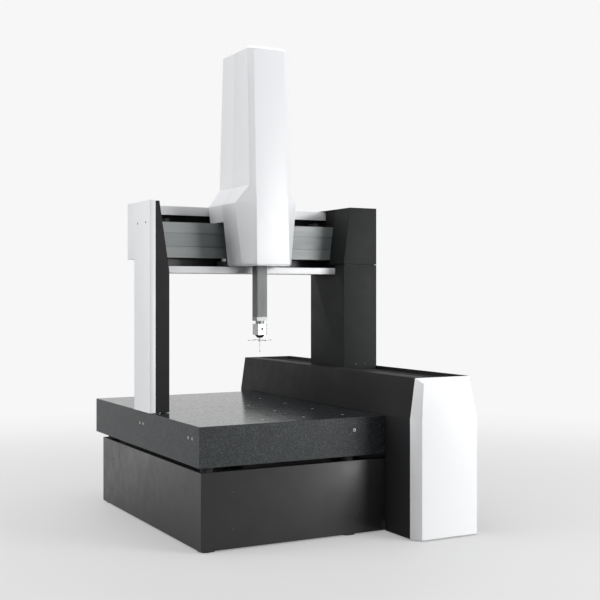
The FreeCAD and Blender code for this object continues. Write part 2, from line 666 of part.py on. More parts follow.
def y_front_cover():
    """Bevelled cover on the housing's front end, hollow and open at the back."""
    front = "housing_front-front_cover_depth"
    outer = loft("front_cover_outer", [
        outline("front_cover_back_edge", "XZ_Plane", "housing_front", housing_section("0")),
        outline("front_cover_face", "XZ_Plane", front, front_section("0"))])
    inner = loft("front_cover_inner", [
        outline("front_cover_inner_edge", "XZ_Plane", "housing_front", housing_section("cover_wall")),
        outline("front_cover_inner_face", "XZ_Plane", front + "+cover_wall",
                front_section("cover_wall"))])
    keep(cut("y_front_cover", outer, inner))


def bellows():
    """Pleated slot covers in front of and behind the tower, as their outer form."""
    low = "bellows_bottom"
    high = "bellows_bottom+bellows_height"
    left = "slot_left+1"
    right = "slot_right-1"
    keep(block("y_front_bellows", left, right, "housing_front+bellows_end", "bridge_front-air_gap",
               low, high))
    keep(block("y_rear_bellows", left, right, "tower_back+air_gap", "housing_back-bellows_end",
               low, high))


def control_cabinet():
    """Electronics box inside the housing's front end, on the frame's two nose beams."""
    left = "guide_left+cabinet_inset"
    front = "housing_front+cabinet_setback"
    low = "frame_foot+nose_beam_height"
    keep(block("control_cabinet", left, left + "+cabinet_width", front, front + "+cabinet_depth",
               low, low + "+cabinet_height"))


def panel_screws():
    """Screw heads on the stand's front and left panels."""
    screws = []
    for level, height in enumerate(["panel_screw_low_height", "panel_screw_high_height"]):
        for side, x in enumerate(["stand_left+panel_screw_inset", "guide_left-panel_screw_inset"]):
            screws.append(rod(f"front_screw_{level}{side}", "Y", "screw_radius", "screw_head",
                              x, "stand_front-screw_head", height))
        for side, y in enumerate(["stand_front+panel_screw_inset", "stand_back-panel_screw_inset"]):
            screws.append(rod(f"left_screw_{level}{side}", "X", "screw_radius", "screw_head",
                              "stand_left-screw_head", y, height))
    keep(group("panel_screws", screws))


# ---------------------------------------------------------------- bridge: left leg


def left_leg():
    """Tapered leg casting with a seat for the beam, its white cover and its air bearings."""
    foot = "table_height+air_gap+leg_pad_height"
    top = "leg_cover_height-leg_cover_wall-leg_fit"
    front = "bridge_front+leg_frame_front"
    post = prism("leg_post", "XZ_Plane", front, "beam_front-cutout_gap", [
        ("leg_frame_left", foot), ("leg_inner_face", foot), ("leg_inner_face", "leg_taper_height"),
        ("leg_inner_face-leg_taper", top), ("leg_frame_left", top)])
    seat = prism("leg_seat", "XZ_Plane", "beam_front-cutout_gap", "leg_frame_back", [
        ("leg_frame_left", foot), ("leg_inner_face", foot), ("leg_inner_face", "leg_taper_height"),
        ("leg_seat_x", "beam_bottom"), ("leg_frame_left", "beam_bottom")])
    keep(fuse("left_leg_frame", [post, seat]))

    cover_foot = "table_height+leg_cover_gap"
    box_back = "leg_back+leg_box_reach"
    cover = prism("left_leg_cover", "YZ_Plane", "leg_outer", "leg_outer+leg_strip", [
        ("bridge_front", cover_foot), ("leg_back", cover_foot), ("leg_back", "leg_box_height"),
        (box_back, "leg_box_height"), (box_back, "leg_cover_height"),
        ("bridge_front", "leg_cover_height")])
    wall = "leg_cover_wall"
    pocket(cover, "YZ_Plane", "leg_outer+leg_strip", "leg_strip-leg_cover_wall",
           lambda sketch: polygon(sketch, [
               (f"bridge_front+{wall}", cover_foot + "-1"), (f"leg_back-{wall}", cover_foot + "-1"),
               (f"leg_back-{wall}", f"leg_box_height+{wall}"),
               (f"{box_back}-{wall}", f"leg_box_height+{wall}"),
               (f"{box_back}-{wall}", f"leg_cover_height-{wall}"),
               (f"bridge_front+{wall}", f"leg_cover_height-{wall}")]))
    keep(cover)

    middle = "(leg_frame_left+leg_inner_face)/2"
    centre = "(bridge_front+leg_back)/2"
    pads = [rod(f"leg_pad_{index}", "Z", "leg_pad_radius", "leg_pad_height",
                middle, f"{centre}{sign}leg_pad_pitch/2", "table_height+air_gap")
            for index, sign in enumerate("-+")]
    keep(group("leg_air_bearings", pads))


def bridge_screws():
    """Screw heads on the leg's cover and low on the tower's front."""
    y = "bridge_front+leg_screw_inset"
    x = "tower_left+tower_screw_inset"
    screws = [rod("leg_screw_front", "X", "screw_radius", "screw_head",
                  "leg_outer-screw_head", y, "leg_screw_height"),
              rod("leg_screw_rear", "X", "screw_radius", "screw_head",
                  "leg_outer-screw_head", y + "+leg_screw_pitch", "leg_screw_height"),
              rod("tower_screw_left", "Y", "screw_radius", "screw_head",
                  x, "bridge_front-screw_head", "tower_screw_height"),
              rod("tower_screw_right", "Y", "screw_radius", "screw_head",
                  x + "+tower_screw_pitch", "bridge_front-screw_head", "tower_screw_height")]
    keep(group("bridge_screws", screws))


# ---------------------------------------------------------------- bridge: beam


def x_beam():
    """Hollow beam; two fine grooves divide its guide face into three bands."""
    groove = "beam_groove"
    half = "beam_groove/2"
    first = "(beam_bottom+beam_height/3)"
    second = "(beam_bottom+beam_height*2/3)"
    face = [("beam_front", "beam_bottom")]
    for level in (first, second):
        face += [("beam_front", f"{level}-{half}"), (f"beam_front+{groove}", f"{level}-{half}"),
                 (f"beam_front+{groove}", f"{level}+{half}"), ("beam_front", f"{level}+{half}")]
    face += [("beam_front", "beam_top"), ("beam_back", "beam_top"), ("beam_back", "beam_bottom")]
    beam = prism("x_beam", "YZ_Plane", "beam_left", "beam_right", face)
    pocket(beam, "YZ_Plane", "beam_right", "beam_right-beam_left", lambda sketch: polygon(
        sketch, rectangle("beam_front+beam_wall", "beam_back-beam_wall",
                          "beam_bottom+beam_wall", "beam_top-beam_wall")))
    keep(beam)
    keep(block("x_scale", "leg_inner_face", "tower_left",
               "beam_front+x_scale_inset", "beam_front+x_scale_inset+scale_width",
               "beam_top", "beam_top+scale_thickness"))
    stops = []
    for name, x_low, x_high in (
            ("left", "head_x-carriage_half-x_travel-stop_post-1", "head_x-carriage_half-x_travel-1"),
            ("right", "head_x+carriage_half+x_travel+1", "head_x+carriage_half+x_travel+stop_post+1")):
        middle = "(beam_front+beam_back)/2"
        stops.append(block(f"x_stop_{name}", x_low, x_high, middle + "-x_stop_depth/2+beam_wall",
                           middle + "+x_stop_depth/2", "beam_top", "beam_top+x_stop_height"))
    keep(group("x_end_stops", stops))


def beam_covers():
    """White tray under the beam, white wall behind it with a lip on top, and a black liner."""
    wall = "tray_wall"
    keep(prism("beam_bottom_tray", "YZ_Plane", "leg_inner_face+leg_fit", "tower_frame_left", [
        ("tray_front", "tray_bottom"), ("rear_cover_out", "tray_bottom"),
        ("rear_cover_out", "beam_bottom"), (f"rear_cover_out-{wall}", "beam_bottom"),
        (f"rear_cover_out-{wall}", f"tray_bottom+{wall}"), (f"tray_front+{wall}", f"tray_bottom+{wall}"),
        (f"tray_front+{wall}", "tray_bottom+tray_lip"), ("tray_front", "tray_bottom+tray_lip")]))
    lip_front = "rear_cover_out-top_lip_depth"
    top = "leg_cover_height-leg_cover_wall-leg_fit"
    keep(prism("beam_rear_cover", "YZ_Plane", "leg_outer+leg_cover_wall+leg_fit", "beam_right", [
        ("rear_cover_out", "beam_bottom"), ("rear_cover_out", top), (lip_front, top),
        (lip_front, "top_lip_bottom"), (f"{lip_front}+{wall}", "top_lip_bottom"),
        (f"{lip_front}+{wall}", f"{top}-{wall}"), (f"rear_cover_out-{wall}", f"{top}-{wall}"),
        (f"rear_cover_out-{wall}", "beam_bottom")]))
    keep(prism("beam_liner", "XZ_Plane", "rear_cover_in-liner_wall", "rear_cover_in", [
        ("beam_left", "beam_bottom"), ("leg_inner_face+leg_fit", "beam_bottom"),
        ("leg_inner_face+leg_fit", f"tray_bottom+{wall}"), ("tower_frame_left", f"tray_bottom+{wall}"),
        ("tower_frame_left", "beam_bottom"), ("beam_right", "beam_bottom"),
        ("beam_right", f"{top}-{wall}"), ("beam_left", f"{top}-{wall}")]))


def x_drive_bar():
    """Drive bar behind the beam, from a block under the beam to the tower's frame."""
    start = "table_left+x_bar_start"
    bar = block("x_bar", start, "tower_frame_left", "x_bar_front", "x_bar_back",
                "x_bar_bottom", "x_bar_bottom+x_bar_height")
    bracket = block("x_bar_bracket", start, start + "+x_bar_block", "beam_back-arm_foot_back",
                    "x_bar_front", "x_bar_bottom", "beam_bottom")
    keep(fuse("x_drive_bar", [bar, bracket]))


# ---------------------------------------------------------------- bridge: tower


def tower():
    """Right-hand column with a seat for the beam, in a lower and an upper sheet cover."""
    wall = "tower_wall"
    left = "tower_frame_left"
    right = "tower_right-tower_frame_inset"
    top = f"tower_height-{wall}"
    keep(prism("right_tower_frame", "XZ_Plane", f"bridge_front+{wall}", f"tower_back-{wall}", [
        (left, "saddle_top"), (right, "saddle_top"), (right, top), ("beam_right", top),
        ("beam_right", "beam_bottom"), (left, "beam_bottom")]))

    inner_y = (f"bridge_front+{wall}", f"tower_back-{wall}")
    seam = "tower_joint-joint_gap/2"
    lower = prism("lower_skin", "XZ_Plane", "bridge_front", "tower_back",
                  rectangle("tower_left", "tower_right", "tower_foot", seam))
    inside = block("lower_inside", f"tower_left+{wall}", f"tower_right-{wall}", *inner_y,
                   "tower_foot-1", seam + "+1")
    cutout = block("tray_cutout", "tower_left-1", f"tower_left+{wall}+1", "tray_front-cutout_gap",
                   "rear_cover_out+cutout_gap", "tray_bottom-cutout_gap", seam + "+1")
    keep(cut("tower_lower_cover", cut("lower_shell", lower, inside), cutout))

    seam = "tower_joint+joint_gap/2"
    upper = prism("upper_skin", "XZ_Plane", "bridge_front", "tower_back", [
        ("tower_left", seam), ("tower_right", seam), ("tower_right", "tower_height"),
        ("tower_left+tower_lean", "tower_height"), ("tower_left", "tower_lean_start")])
    inside = prism("upper_inside", "XZ_Plane", *inner_y, [
        (f"tower_left+{wall}", seam + "-1"), (f"tower_right-{wall}", seam + "-1"),
        (f"tower_right-{wall}", f"tower_height-{wall}"),
        (f"tower_left+tower_lean+{wall}", f"tower_height-{wall}"),
        (f"tower_left+{wall}", "tower_lean_start")])
    cutout = block("beam_cutout", "tower_left-1", "beam_right", "beam_front-cutout_gap",
                   "rear_cover_out+cutout_gap", "tower_joint-1", f"tower_height-{wall}")
    keep(cut("tower_upper_cover", cut("upper_shell", upper, inside), cutout))


def y_carriage():
    """Saddle over the guide rail, with a wing for the drive and its air bearings."""
    under = "rail_top+saddle_gap"
    skirt = "table_height+skirt_clearance"
    saddle = prism("saddle", "XZ_Plane", "saddle_front", "saddle_back", [
        ("saddle_left", skirt), ("saddle_left+skirt_width", skirt), ("saddle_left+skirt_width", under),
        ("saddle_right-skirt_width", under), ("saddle_right-skirt_width", skirt),
        ("saddle_right", skirt), ("saddle_right", "saddle_top"), ("saddle_left", "saddle_top")])
    wing = block("wing", "saddle_left-wing_reach", "saddle_left", "tower_middle-wing_length/2",
                 "tower_middle+wing_length/2", "wing_height", "wing_height+wing_thickness")
    shaft_hole = rod("wing_hole", "Z", "shaft_radius+shaft_fit", "wing_thickness+2",
                     "y_roller_x", "tower_middle", "wing_height-1")
    keep(cut("y_carriage", fuse("saddle_and_wing", [saddle, wing]), shaft_hole))

    pads = []
    for index, sign in enumerate("-+"):
        y = f"tower_middle{sign}pad_pitch/2"
        pads.append(rod(f"top_pad_{index}", "Z", "top_pad_radius", "saddle_gap-air_gap",
                        "(rail_left+rail_right)/2", y, "rail_top+air_gap"))
        pads.append(rod(f"left_pad_{index}", "X", "pad_radius", "skirt_gap-air_gap",
                        "rail_left-skirt_gap", y, "table_height+pad_rise"))
        pads.append(rod(f"right_pad_{index}", "X", "pad_radius", "skirt_gap-air_gap",
                        "rail_right+air_gap", y, "table_height+pad_rise"))
    keep(group("y_air_bearings", pads))

    keep(block("y_readhead", "rail_left-skirt_gap", "rail_left-scale_thickness-read_gap",
               "tower_middle-readhead_length/2", "tower_middle+readhead_length/2",
               "rail_top-y_scale_drop-scale_width", "rail_top-y_scale_drop"))


def y_drive():
    """Motor on the saddle's wing; its roller bears on the drive bar."""
    top = "wing_height+wing_thickness"
    can = rod("y_motor_can", "Z", "y_motor_radius", "y_motor_height", "y_roller_x", "tower_middle", top)
    bore = rod("y_motor_bore", "Z", "shaft_radius+shaft_fit", "shaft_depth",
               "y_roller_x", "tower_middle", top)
    keep(cut("y_drive_motor", can, bore))
    bottom = "table_height+bar_rise+bar_height/2-y_roller_height/2"
    wheel = rod("y_wheel", "Z", "y_roller_radius", "y_roller_height", "y_roller_x", "tower_middle", bottom)
    shaft = rod("y_shaft", "Z", "shaft_radius", f"{top}+shaft_depth-1-({bottom})",
                "y_roller_x", "tower_middle", bottom)
    keep(fuse("y_drive_roller", [wheel, shaft]))


# ---------------------------------------------------------------- head carriage


def carriage_frame():
    """Casting that hooks around the beam: front plate, upper and rear arm, lower arm."""
    top_low = "beam_top+arm_top_gap"
    rear = "arm_rear_in+arm_rear_thickness"
    foot_top = "beam_bottom-arm_foot_gap"
    foot_back = "beam_back-arm_foot_back-leg_fit"
    hook = prism("carriage_hook", "YZ_Plane", "head_x-carriage_half", "head_x+carriage_half", [
        ("plate_front", "arm_bottom"), (foot_back, "arm_bottom"), (foot_back, foot_top),
        ("plate_back", foot_top), ("plate_back", top_low), ("arm_rear_in", top_low),
        ("arm_rear_in", "arm_rear_end"), (rear, "arm_rear_end"), (rear, "arm_top"),
        ("plate_front", "arm_top")])
    upper = block("upper_plate", "head_x-upper_plate_half", "head_x+upper_plate_half",
                  "plate_front", "plate_back", "arm_top", "plate_top")
    keep(fuse("carriage_frame", [hook, upper]))

    pads = []
    radius = "beam_pad_radius"
    for index, sign in enumerate("-+"):
        x = f"head_x{sign}beam_pad_pitch"
        y = "beam_back-beam_pad_edge"
        pads.append(rod(f"low_front_pad_{index}", "Y", radius, "plate_gap-air_gap",
                        x, "plate_back", "beam_bottom+beam_pad_edge"))
        pads.append(rod(f"high_front_pad_{index}", "Y", radius, "plate_gap-air_gap",
                        x, "plate_back", "beam_top-beam_pad_edge"))
        pads.append(rod(f"rear_pad_{index}", "Y", radius, "arm_rear_gap-air_gap",
                        x, "beam_back+air_gap", "beam_top-beam_pad_edge"))
        pads.append(rod(f"upper_pad_{index}", "Z", radius, "arm_top_gap-air_gap",
                        x, y, "beam_top+air_gap"))
        pads.append(rod(f"lower_pad_{index}", "Z", radius, "arm_foot_gap-air_gap",
                        x, y + "-arm_foot_back", foot_top))
    keep(group("carriage_air_bearings", pads))


def ram_guide():
    """Square sleeve around the ram, with an air bearing on each face at both ends."""
    sleeve = prism("ram_guide", "XY_Plane", "guide_bottom", "guide_top",
                   rectangle("head_x-guide_half", "head_x+guide_half",
                             "ram_y-guide_bore_width/2-guide_front_depth", "plate_front"))
    pocket(sleeve, "XY_Plane", "guide_top", "guide_top-guide_bottom", lambda sketch: polygon(
        sketch, rectangle("head_x-guide_bore_width/2", "head_x+guide_bore_width/2",
                          "ram_y-guide_bore_width/2", "ram_y+guide_bore_width/2")))
    keep(sleeve)
    pads = []
    wide = "guide_bore_width/2-ram_width/2-air_gap"
    deep = "guide_bore_width/2-ram_depth/2-air_gap"
    for index, z in enumerate(["guide_bottom+ram_pad_edge", "guide_top-ram_pad_edge"]):
        pads.append(rod(f"ram_left_pad_{index}", "X", "ram_pad_radius", wide,
                        "head_x-guide_bore_width/2", "ram_y", z))
        pads.append(rod(f"ram_right_pad_{index}", "X", "ram_pad_radius", wide,
                        "ram_right+air_gap", "ram_y", z))
        pads.append(rod(f"ram_front_pad_{index}", "Y", "ram_pad_radius", deep,
                        "head_x", "ram_y-guide_bore_width/2", z))
        pads.append(rod(f"ram_back_pad_{index}", "Y", "ram_pad_radius", deep,
                        "head_x", "ram_back+air_gap", z))
    keep(group("ram_air_bearings", pads))


def x_drive():
    """Motor under the rear arm; its roller bears on the bar behind the beam."""
    bottom = "arm_rear_end-x_motor_height"
    can = rod("x_motor_can", "Z", "x_motor_radius", "x_motor_height", "x_roller_x", "x_roller_y", bottom)
    bore = rod("x_motor_bore", "Z", "small_shaft+shaft_fit", "shaft_depth",
               "x_roller_x", "x_roller_y", bottom)
    keep(cut("x_drive_motor", can, bore))
    low = "x_bar_bottom+x_bar_height/2-x_roller_height/2"
    wheel = rod("x_wheel", "Z", "x_roller_radius", "x_roller_height", "x_roller_x", "x_roller_y", low)
    shaft = rod("x_shaft", "Z", "small_shaft", f"{bottom}+shaft_depth-1-({low})",
                "x_roller_x", "x_roller_y", low)
    keep(fuse("x_drive_roller", [wheel, shaft]))


def z_drive():
    """Motor on the sleeve's top; its roller bears on the ram's drive strip."""
    plate_back = "ram_front-2"
    plate_front = "ram_front-2-motor_plate"
    plate = block("z_motor_plate", "head_x-guide_half", "ram_left-1", plate_front, plate_back,
                  "guide_top", "guide_top+motor_plate_height")
    can = rod("z_motor_can", "Y", "z_motor_radius", "z_motor_length", "z_roller_x",
              plate_front + "-z_motor_length", "z_roller_z")
    bore = rod("z_motor_bore", "Y", "small_shaft+shaft_fit", "motor_plate+shaft_depth+1",
               "z_roller_x", plate_front + "-shaft_depth", "z_roller_z")
    keep(cut("z_drive_motor", fuse("z_motor_body", [plate, can]), bore))
    wheel = rod("z_wheel", "Y", "z_roller_radius", "z_roller_width", "z_roller_x",
                "strip_front-1", "z_roller_z")
    shaft = rod("z_shaft", "Y", "small_shaft", f"strip_front-({plate_front})+shaft_depth-1",
                "z_roller_x", plate_front + "-shaft_depth+1", "z_roller_z")
    keep(fuse("z_drive_roller", [wheel, shaft]))


def counterbalance():
    """Air cylinder beside the sleeve, and the rod that it lifts the ram's top bracket with."""
    tube = rod("cylinder_tube", "Z", "cylinder_radius", "cylinder_top-cylinder_bottom",
               "cylinder_x", "ram_y", "cylinder_bottom")
    bore = rod("cylinder_hollow", "Z", "cylinder_bore", "cylinder_top-cylinder_bottom-2*cylinder_cap",
               "cylinder_x", "ram_y", "cylinder_bottom+cylinder_cap")
    gland = rod("cylinder_gland", "Z", "rod_radius+rod_fit", "2*cylinder_cap",
                "cylinder_x", "ram_y", "cylinder_top-1.5*cylinder_cap")
    keep(cut("counterbalance_cylinder", cut("cylinder_shell", tube, bore), gland))
    piston = rod("piston", "Z", "cylinder_bore-shaft_fit", "piston_height",
                 "cylinder_x", "ram_y", "piston_bottom")
    link = rod("piston_rod", "Z", "rod_radius", "ram_top-piston_bottom",
               "cylinder_x", "ram_y", "piston_bottom")
    bracket = block("ram_bracket", "ram_left", "cylinder_x+rod_radius*2",
                    "ram_y-bracket_depth/2", "ram_y+bracket_depth/2",
                    "ram_top", "ram_top+bracket_height")
    keep(fuse("counterbalance_rod", [piston, link, bracket]))


def carriage_readheads():
    """Readheads over the beam's scale and beside the ram."""
    inset = "beam_front+x_scale_inset"
    keep(group("carriage_readheads", [
        block("x_readhead", "head_x-readhead_length/2", "head_x+readhead_length/2",
              inset, inset + "+scale_width", "beam_top+scale_thickness+read_gap",
              "beam_top+arm_top_gap"),
        block("z_readhead", "ram_right+read_gap", "head_x+guide_half",
              "ram_back-scale_width-1", "ram_back-1", "guide_top", "guide_top+readhead_length")]))


# ---------------------------------------------------------------- head cover


def head_outline(label, z, level, inset):
    """One level of the head's faceted cover, smaller all round by an inset."""
    front_half = f"({level}_front_half-{inset}*0.8)"
    side_half = f"({level}_side_half-{inset})"
    corner_half = f"({level}_side_half-head_corner-{inset}*0.6)"
    front = f"ram_y-{level}_front+{inset}"
    side = f"ram_y-{level}_side+{inset}*0.6"
    back = f"ram_y+{level}_back-{inset}"
    corner = f"ram_y+{level}_back-head_corner-{inset}*0.6"
    points = [(f"head_x+{front_half}", front), (f"head_x+{side_half}", side),
              (f"head_x+{side_half}", corner), (f"head_x+{corner_half}", back),
              (f"head_x-{corner_half}", back), (f"head_x-{side_half}", corner),
              (f"head_x-{side_half}", side), (f"head_x-{front_half}", front)]
    return outline(label, "XY_Plane", z, points)


def head_cover():
    """Faceted cover, split along a leaning seam into a front and a rear shell."""
    levels = ["foot", "shoulder", "waist", "top"]
    outer = loft("head_outer", [head_outline(f"head_outer_{level}", f"head_{level}", level, "0")
                                for level in levels])
    inner = loft("head_inner", [
        head_outline(f"head_inner_{level}", f"head_{level}-head_wall" if level == "top"
                     else f"head_{level}", level, "head_wall") for level in levels])
    shell = cut("head_shell", outer, inner)

    far = "head_top+10"
    low = "head_foot-10"
    left = "head_x-shoulder_side_half-10"
    right = "head_x+shoulder_side_half+10"
    front_zone = prism("front_zone", "YZ_Plane", left, right, [
        ("ram_y-foot_front-10", low), ("seam_y", low), ("seam_y", "head_notch"),
        ("seam_y-seam_lean", far), ("ram_y-foot_front-10", far)])
    keep(common("head_front_cover", shell, front_zone))

    gap = "seam_gap"
    rear_zone = prism("rear_zone", "YZ_Plane", left, right, [
        (f"seam_y+{gap}", "head_notch"), ("ram_y+shoulder_back+10", "head_notch"),
        ("ram_y+shoulder_back+10", far), (f"seam_y-seam_lean+{gap}", far)])
    arm_slot = block("arm_slot", "head_x-carriage_half-arm_slot_gap", "head_x+carriage_half+arm_slot_gap",
                     "ram_y+shoulder_back-40", "ram_y+shoulder_back+10", "head_notch-1", "arm_top")
    keep(cut("head_rear_cover", common("rear_shell", shell, rear_zone), arm_slot))

    inset = "bottom_inset"
    plate = prism("head_bottom_plate", "XY_Plane", "head_foot-bottom_plate", "head_foot", [
        (f"head_x-foot_front_half+{inset}", f"ram_y-foot_front+{inset}"),
        (f"head_x+foot_front_half-{inset}", f"ram_y-foot_front+{inset}"),
        (f"head_x+foot_side_half-{inset}", f"ram_y-foot_side+{inset}"),
        (f"head_x+foot_side_half-{inset}", f"seam_y-{inset}"),
        ("head_x+upper_plate_half", f"seam_y-{inset}"), ("head_x+upper_plate_half", "plate_front"),
        ("head_x-upper_plate_half", "plate_front"), ("head_x-upper_plate_half", f"seam_y-{inset}"),
        (f"head_x-foot_side_half+{inset}", f"seam_y-{inset}"),
        (f"head_x-foot_side_half+{inset}", f"ram_y-foot_side+{inset}")])
    pocket(plate, "XY_Plane", "head_foot", "bottom_plate", lambda sketch: polygon(
        sketch, rectangle("head_x-ram_opening/2", "head_x+ram_opening/2",
                          "ram_y-ram_opening/2", "ram_y+ram_opening/2")))
    keep(plate)


# ---------------------------------------------------------------- ram and probe


def ram_tube():
    """Square tube with a drive strip along its left face."""
    tube = prism("ram_profile", "XY_Plane", "ram_bottom", "ram_top",
                 rectangle("ram_left", "ram_right", "ram_front", "ram_back"))
    bevel(tube, "ram_chamfer", lambda edge: runs_along(edge, Vector(0, 0, 1)))
    pocket(tube, "XY_Plane", "ram_top", "ram_top-ram_bottom", lambda sketch: polygon(
        sketch, rectangle("ram_left+ram_wall", "ram_right-ram_wall",
                          "ram_front+ram_wall", "ram_back-ram_wall")))
    strip = block("drive_strip", "ram_left-strip_thickness", "ram_left+ram_wall/2",
                  "strip_front+ram_chamfer", "strip_front+ram_chamfer+strip_width",
                  "strip_start", "ram_top")
    keep(fuse("ram_tube", [tube, strip]))


def probe():
    """Adapter, sensor block and cone below the ram."""
    neck = rod("adapter_neck_rod", "Z", "adapter_neck_radius", "adapter_neck", "head_x", "ram_y", "probe_top")
    plate = block("adapter_square", "head_x-adapter_width/2", "head_x+adapter_width/2",
                  "ram_y-adapter_width/2", "ram_y+adapter_width/2",
                  "ram_bottom-adapter_plate", "ram_bottom")
    keep(fuse("probe_adapter", [neck, plate]))
    sensor = prism("probe_body", "XY_Plane", "probe_bottom", "probe_top",
                   rectangle("head_x-probe_width/2", "head_x+probe_width/2",
                             "ram_y-probe_width/2", "ram_y+probe_width/2"))
    bevel(sensor, "probe_corner", lambda edge: runs_along(edge, Vector(0, 0, 1)))
    pocket(sensor, "XY_Plane", "gimbal_level+gimbal_height+2*pivot_gap",
           "gimbal_level+gimbal_height+2*pivot_gap-probe_bottom",
           lambda sketch: circles(sketch, "probe_bore", [("head_x", "ram_y")]))
    keep(sensor)
    shell = cone("cone_shell", "cone_bottom_radius", "cone_top_radius", "cone_height",
                 "head_x", "ram_y", "cone_bottom")
    bore = rod("cone_hole", "Z", "cone_bore", "cone_height+2", "head_x", "ram_y", "cone_bottom-1")
    keep(cut("probe_cone", shell, bore))


def stylus():
    """Gimbal ring on pins in the sensor, and the star stylus that hangs from it."""
    level = "gimbal_level"
    ring = cut("gimbal_blank", rod("gimbal_outer", "Z", "gimbal_radius", "gimbal_height",
                                   "head_x", "ram_y", level),
               rod("gimbal_hole", "Z", "gimbal_bore", "gimbal_height+2", "head_x", "ram_y", level + "-1"))
    pin = rod("gimbal_pin", "X", "pivot_pin", "2*probe_bore-2*air_gap", "head_x-probe_bore+air_gap",
              "ram_y", level + "+gimbal_height/2")
    ring_hole = rod("gimbal_clear", "Z", "gimbal_bore", "gimbal_height+2", "head_x", "ram_y", level + "-1")
    keep(cut("stylus_gimbal", fuse("gimbal_with_pins", [ring, pin]), ring_hole))

    stem = rod("stylus_stem", "Z", "stem_radius", f"{level}+gimbal_height-hub_top",
               "head_x", "ram_y", "hub_top")
    hub = rod("stylus_hub", "Z", "hub_radius", "hub_height", "head_x", "ram_y", "hub_top-hub_height")
    pivot = rod("stylus_pivot", "Y", "pivot_pin", "2*gimbal_bore-2*air_gap", "head_x",
                "ram_y-gimbal_bore+air_gap", level + "+gimbal_height/2")
    across = rod("star_across", "X", "stylus_radius", "2*star_span", "head_x-star_span", "ram_y", "star_level")
    along = rod("star_along", "Y", "stylus_radius", "2*star_span", "head_x", "ram_y-star_span", "star_level")
    down = rod("star_down", "Z", "stylus_radius", "hub_top-hub_height-stylus_tip_height-tip_radius",
               "head_x", "ram_y", "stylus_tip_height+tip_radius")
    keep(fuse("star_stylus", [stem, hub, pivot, across, along, down]))

    reach = "(star_span+tip_radius-tip_seat)"
    tips = []
    for name, x, y, z, shaft in (
            ("tip_left", f"head_x-{reach}", "ram_y", "star_level", across),
            ("tip_right", f"head_x+{reach}", "ram_y", "star_level", across),
            ("tip_front", "head_x", f"ram_y-{reach}", "star_level", along),
            ("tip_rear", "head_x", f"ram_y+{reach}", "star_level", along),
            ("tip_down", "head_x", "ram_y", "stylus_tip_height+tip_seat", down)):
        tips.append(cut(name, ball(name + "_ball", "tip_radius", x, y, z), shaft))
    keep(group("stylus_tips", tips))


def build():
    fill_sheet()
    base_frame()
    levelling_feet()
    granite_supports()
    stand_panels()
    granite_table()
    table_inserts()
    y_guide()
    housing_covers()
    y_front_cover()
    bellows()
    control_cabinet()
    panel_screws()
    left_leg()
    bridge_screws()
    x_beam()
    beam_covers()
    x_drive_bar()
    tower()
    y_carriage()
    y_drive()
    carriage_frame()
    ram_guide()
    x_drive()
    z_drive()
    counterbalance()
    carriage_readheads()
    head_cover()
    ram_tube()
    probe()
    stylus()
    doc.recompute()


def check():
    """Stop if any object failed or any sub-part has no sound shape."""
    for item in doc.Objects:
        if "Invalid" in item.State or "Error" in item.State:
            raise RuntimeError(f"{item.Name} failed: {item.State}")
    for name, item in parts.items():
        if item.Shape.isNull() or not item.Shape.isValid() or not item.Shape.Solids:
            raise RuntimeError(f"{name} has no sound shape")


def write():
    os.makedirs("parts", exist_ok=True)
    for name, item in parts.items():
        item.Shape.exportStep(f"parts/{name}.step")


build()
check()
write()
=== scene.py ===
import json
import math

import bpy
import bmesh
import numpy as np
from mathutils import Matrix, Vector

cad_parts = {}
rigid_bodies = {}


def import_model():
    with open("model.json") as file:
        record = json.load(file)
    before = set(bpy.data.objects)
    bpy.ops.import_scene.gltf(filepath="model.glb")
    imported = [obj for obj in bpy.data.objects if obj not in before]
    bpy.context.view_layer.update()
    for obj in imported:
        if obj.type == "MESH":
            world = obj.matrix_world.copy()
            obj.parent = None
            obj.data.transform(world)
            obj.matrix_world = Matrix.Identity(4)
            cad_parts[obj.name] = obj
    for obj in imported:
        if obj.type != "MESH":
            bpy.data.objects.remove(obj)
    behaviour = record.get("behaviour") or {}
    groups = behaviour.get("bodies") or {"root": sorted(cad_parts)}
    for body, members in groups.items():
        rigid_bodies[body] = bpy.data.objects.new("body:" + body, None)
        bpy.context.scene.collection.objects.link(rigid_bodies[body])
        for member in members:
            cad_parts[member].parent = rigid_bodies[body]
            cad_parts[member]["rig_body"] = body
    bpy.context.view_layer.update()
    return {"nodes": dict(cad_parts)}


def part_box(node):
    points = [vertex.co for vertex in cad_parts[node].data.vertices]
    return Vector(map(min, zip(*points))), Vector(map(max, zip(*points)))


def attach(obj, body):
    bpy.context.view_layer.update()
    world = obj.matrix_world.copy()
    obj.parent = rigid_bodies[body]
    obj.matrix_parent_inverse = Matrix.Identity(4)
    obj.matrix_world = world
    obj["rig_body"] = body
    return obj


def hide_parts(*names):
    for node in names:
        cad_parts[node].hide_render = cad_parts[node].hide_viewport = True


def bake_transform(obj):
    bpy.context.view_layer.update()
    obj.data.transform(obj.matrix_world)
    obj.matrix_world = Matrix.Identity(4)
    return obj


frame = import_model()
nodes = frame["nodes"]

# ---------------------------------------------------------------- camera, floor and lamps
# A long lens at eye height, level, a little to the left of the machine's front.
# The floor is a pale sheet that fades into a white surround; three soft boxes light it. Seen from the
# eye, its glow is painted shade, darker near the machine and lighter further out.

scene = bpy.context.scene
scene.view_settings.view_transform = "Standard"

lens = bpy.data.cameras.new("camera")
lens.lens = 64.2
lens.sensor_width = 36.0
lens.shift_y = -0.0115
lens.clip_end = 200.0
camera = bpy.data.objects.new("camera", lens)
camera.location = (-2.9035, -5.8255, 1.333)
camera.rotation_euler = (math.radians(90.0), 0.0, math.radians(-28.33))
scene.collection.objects.link(camera)
scene.camera = camera


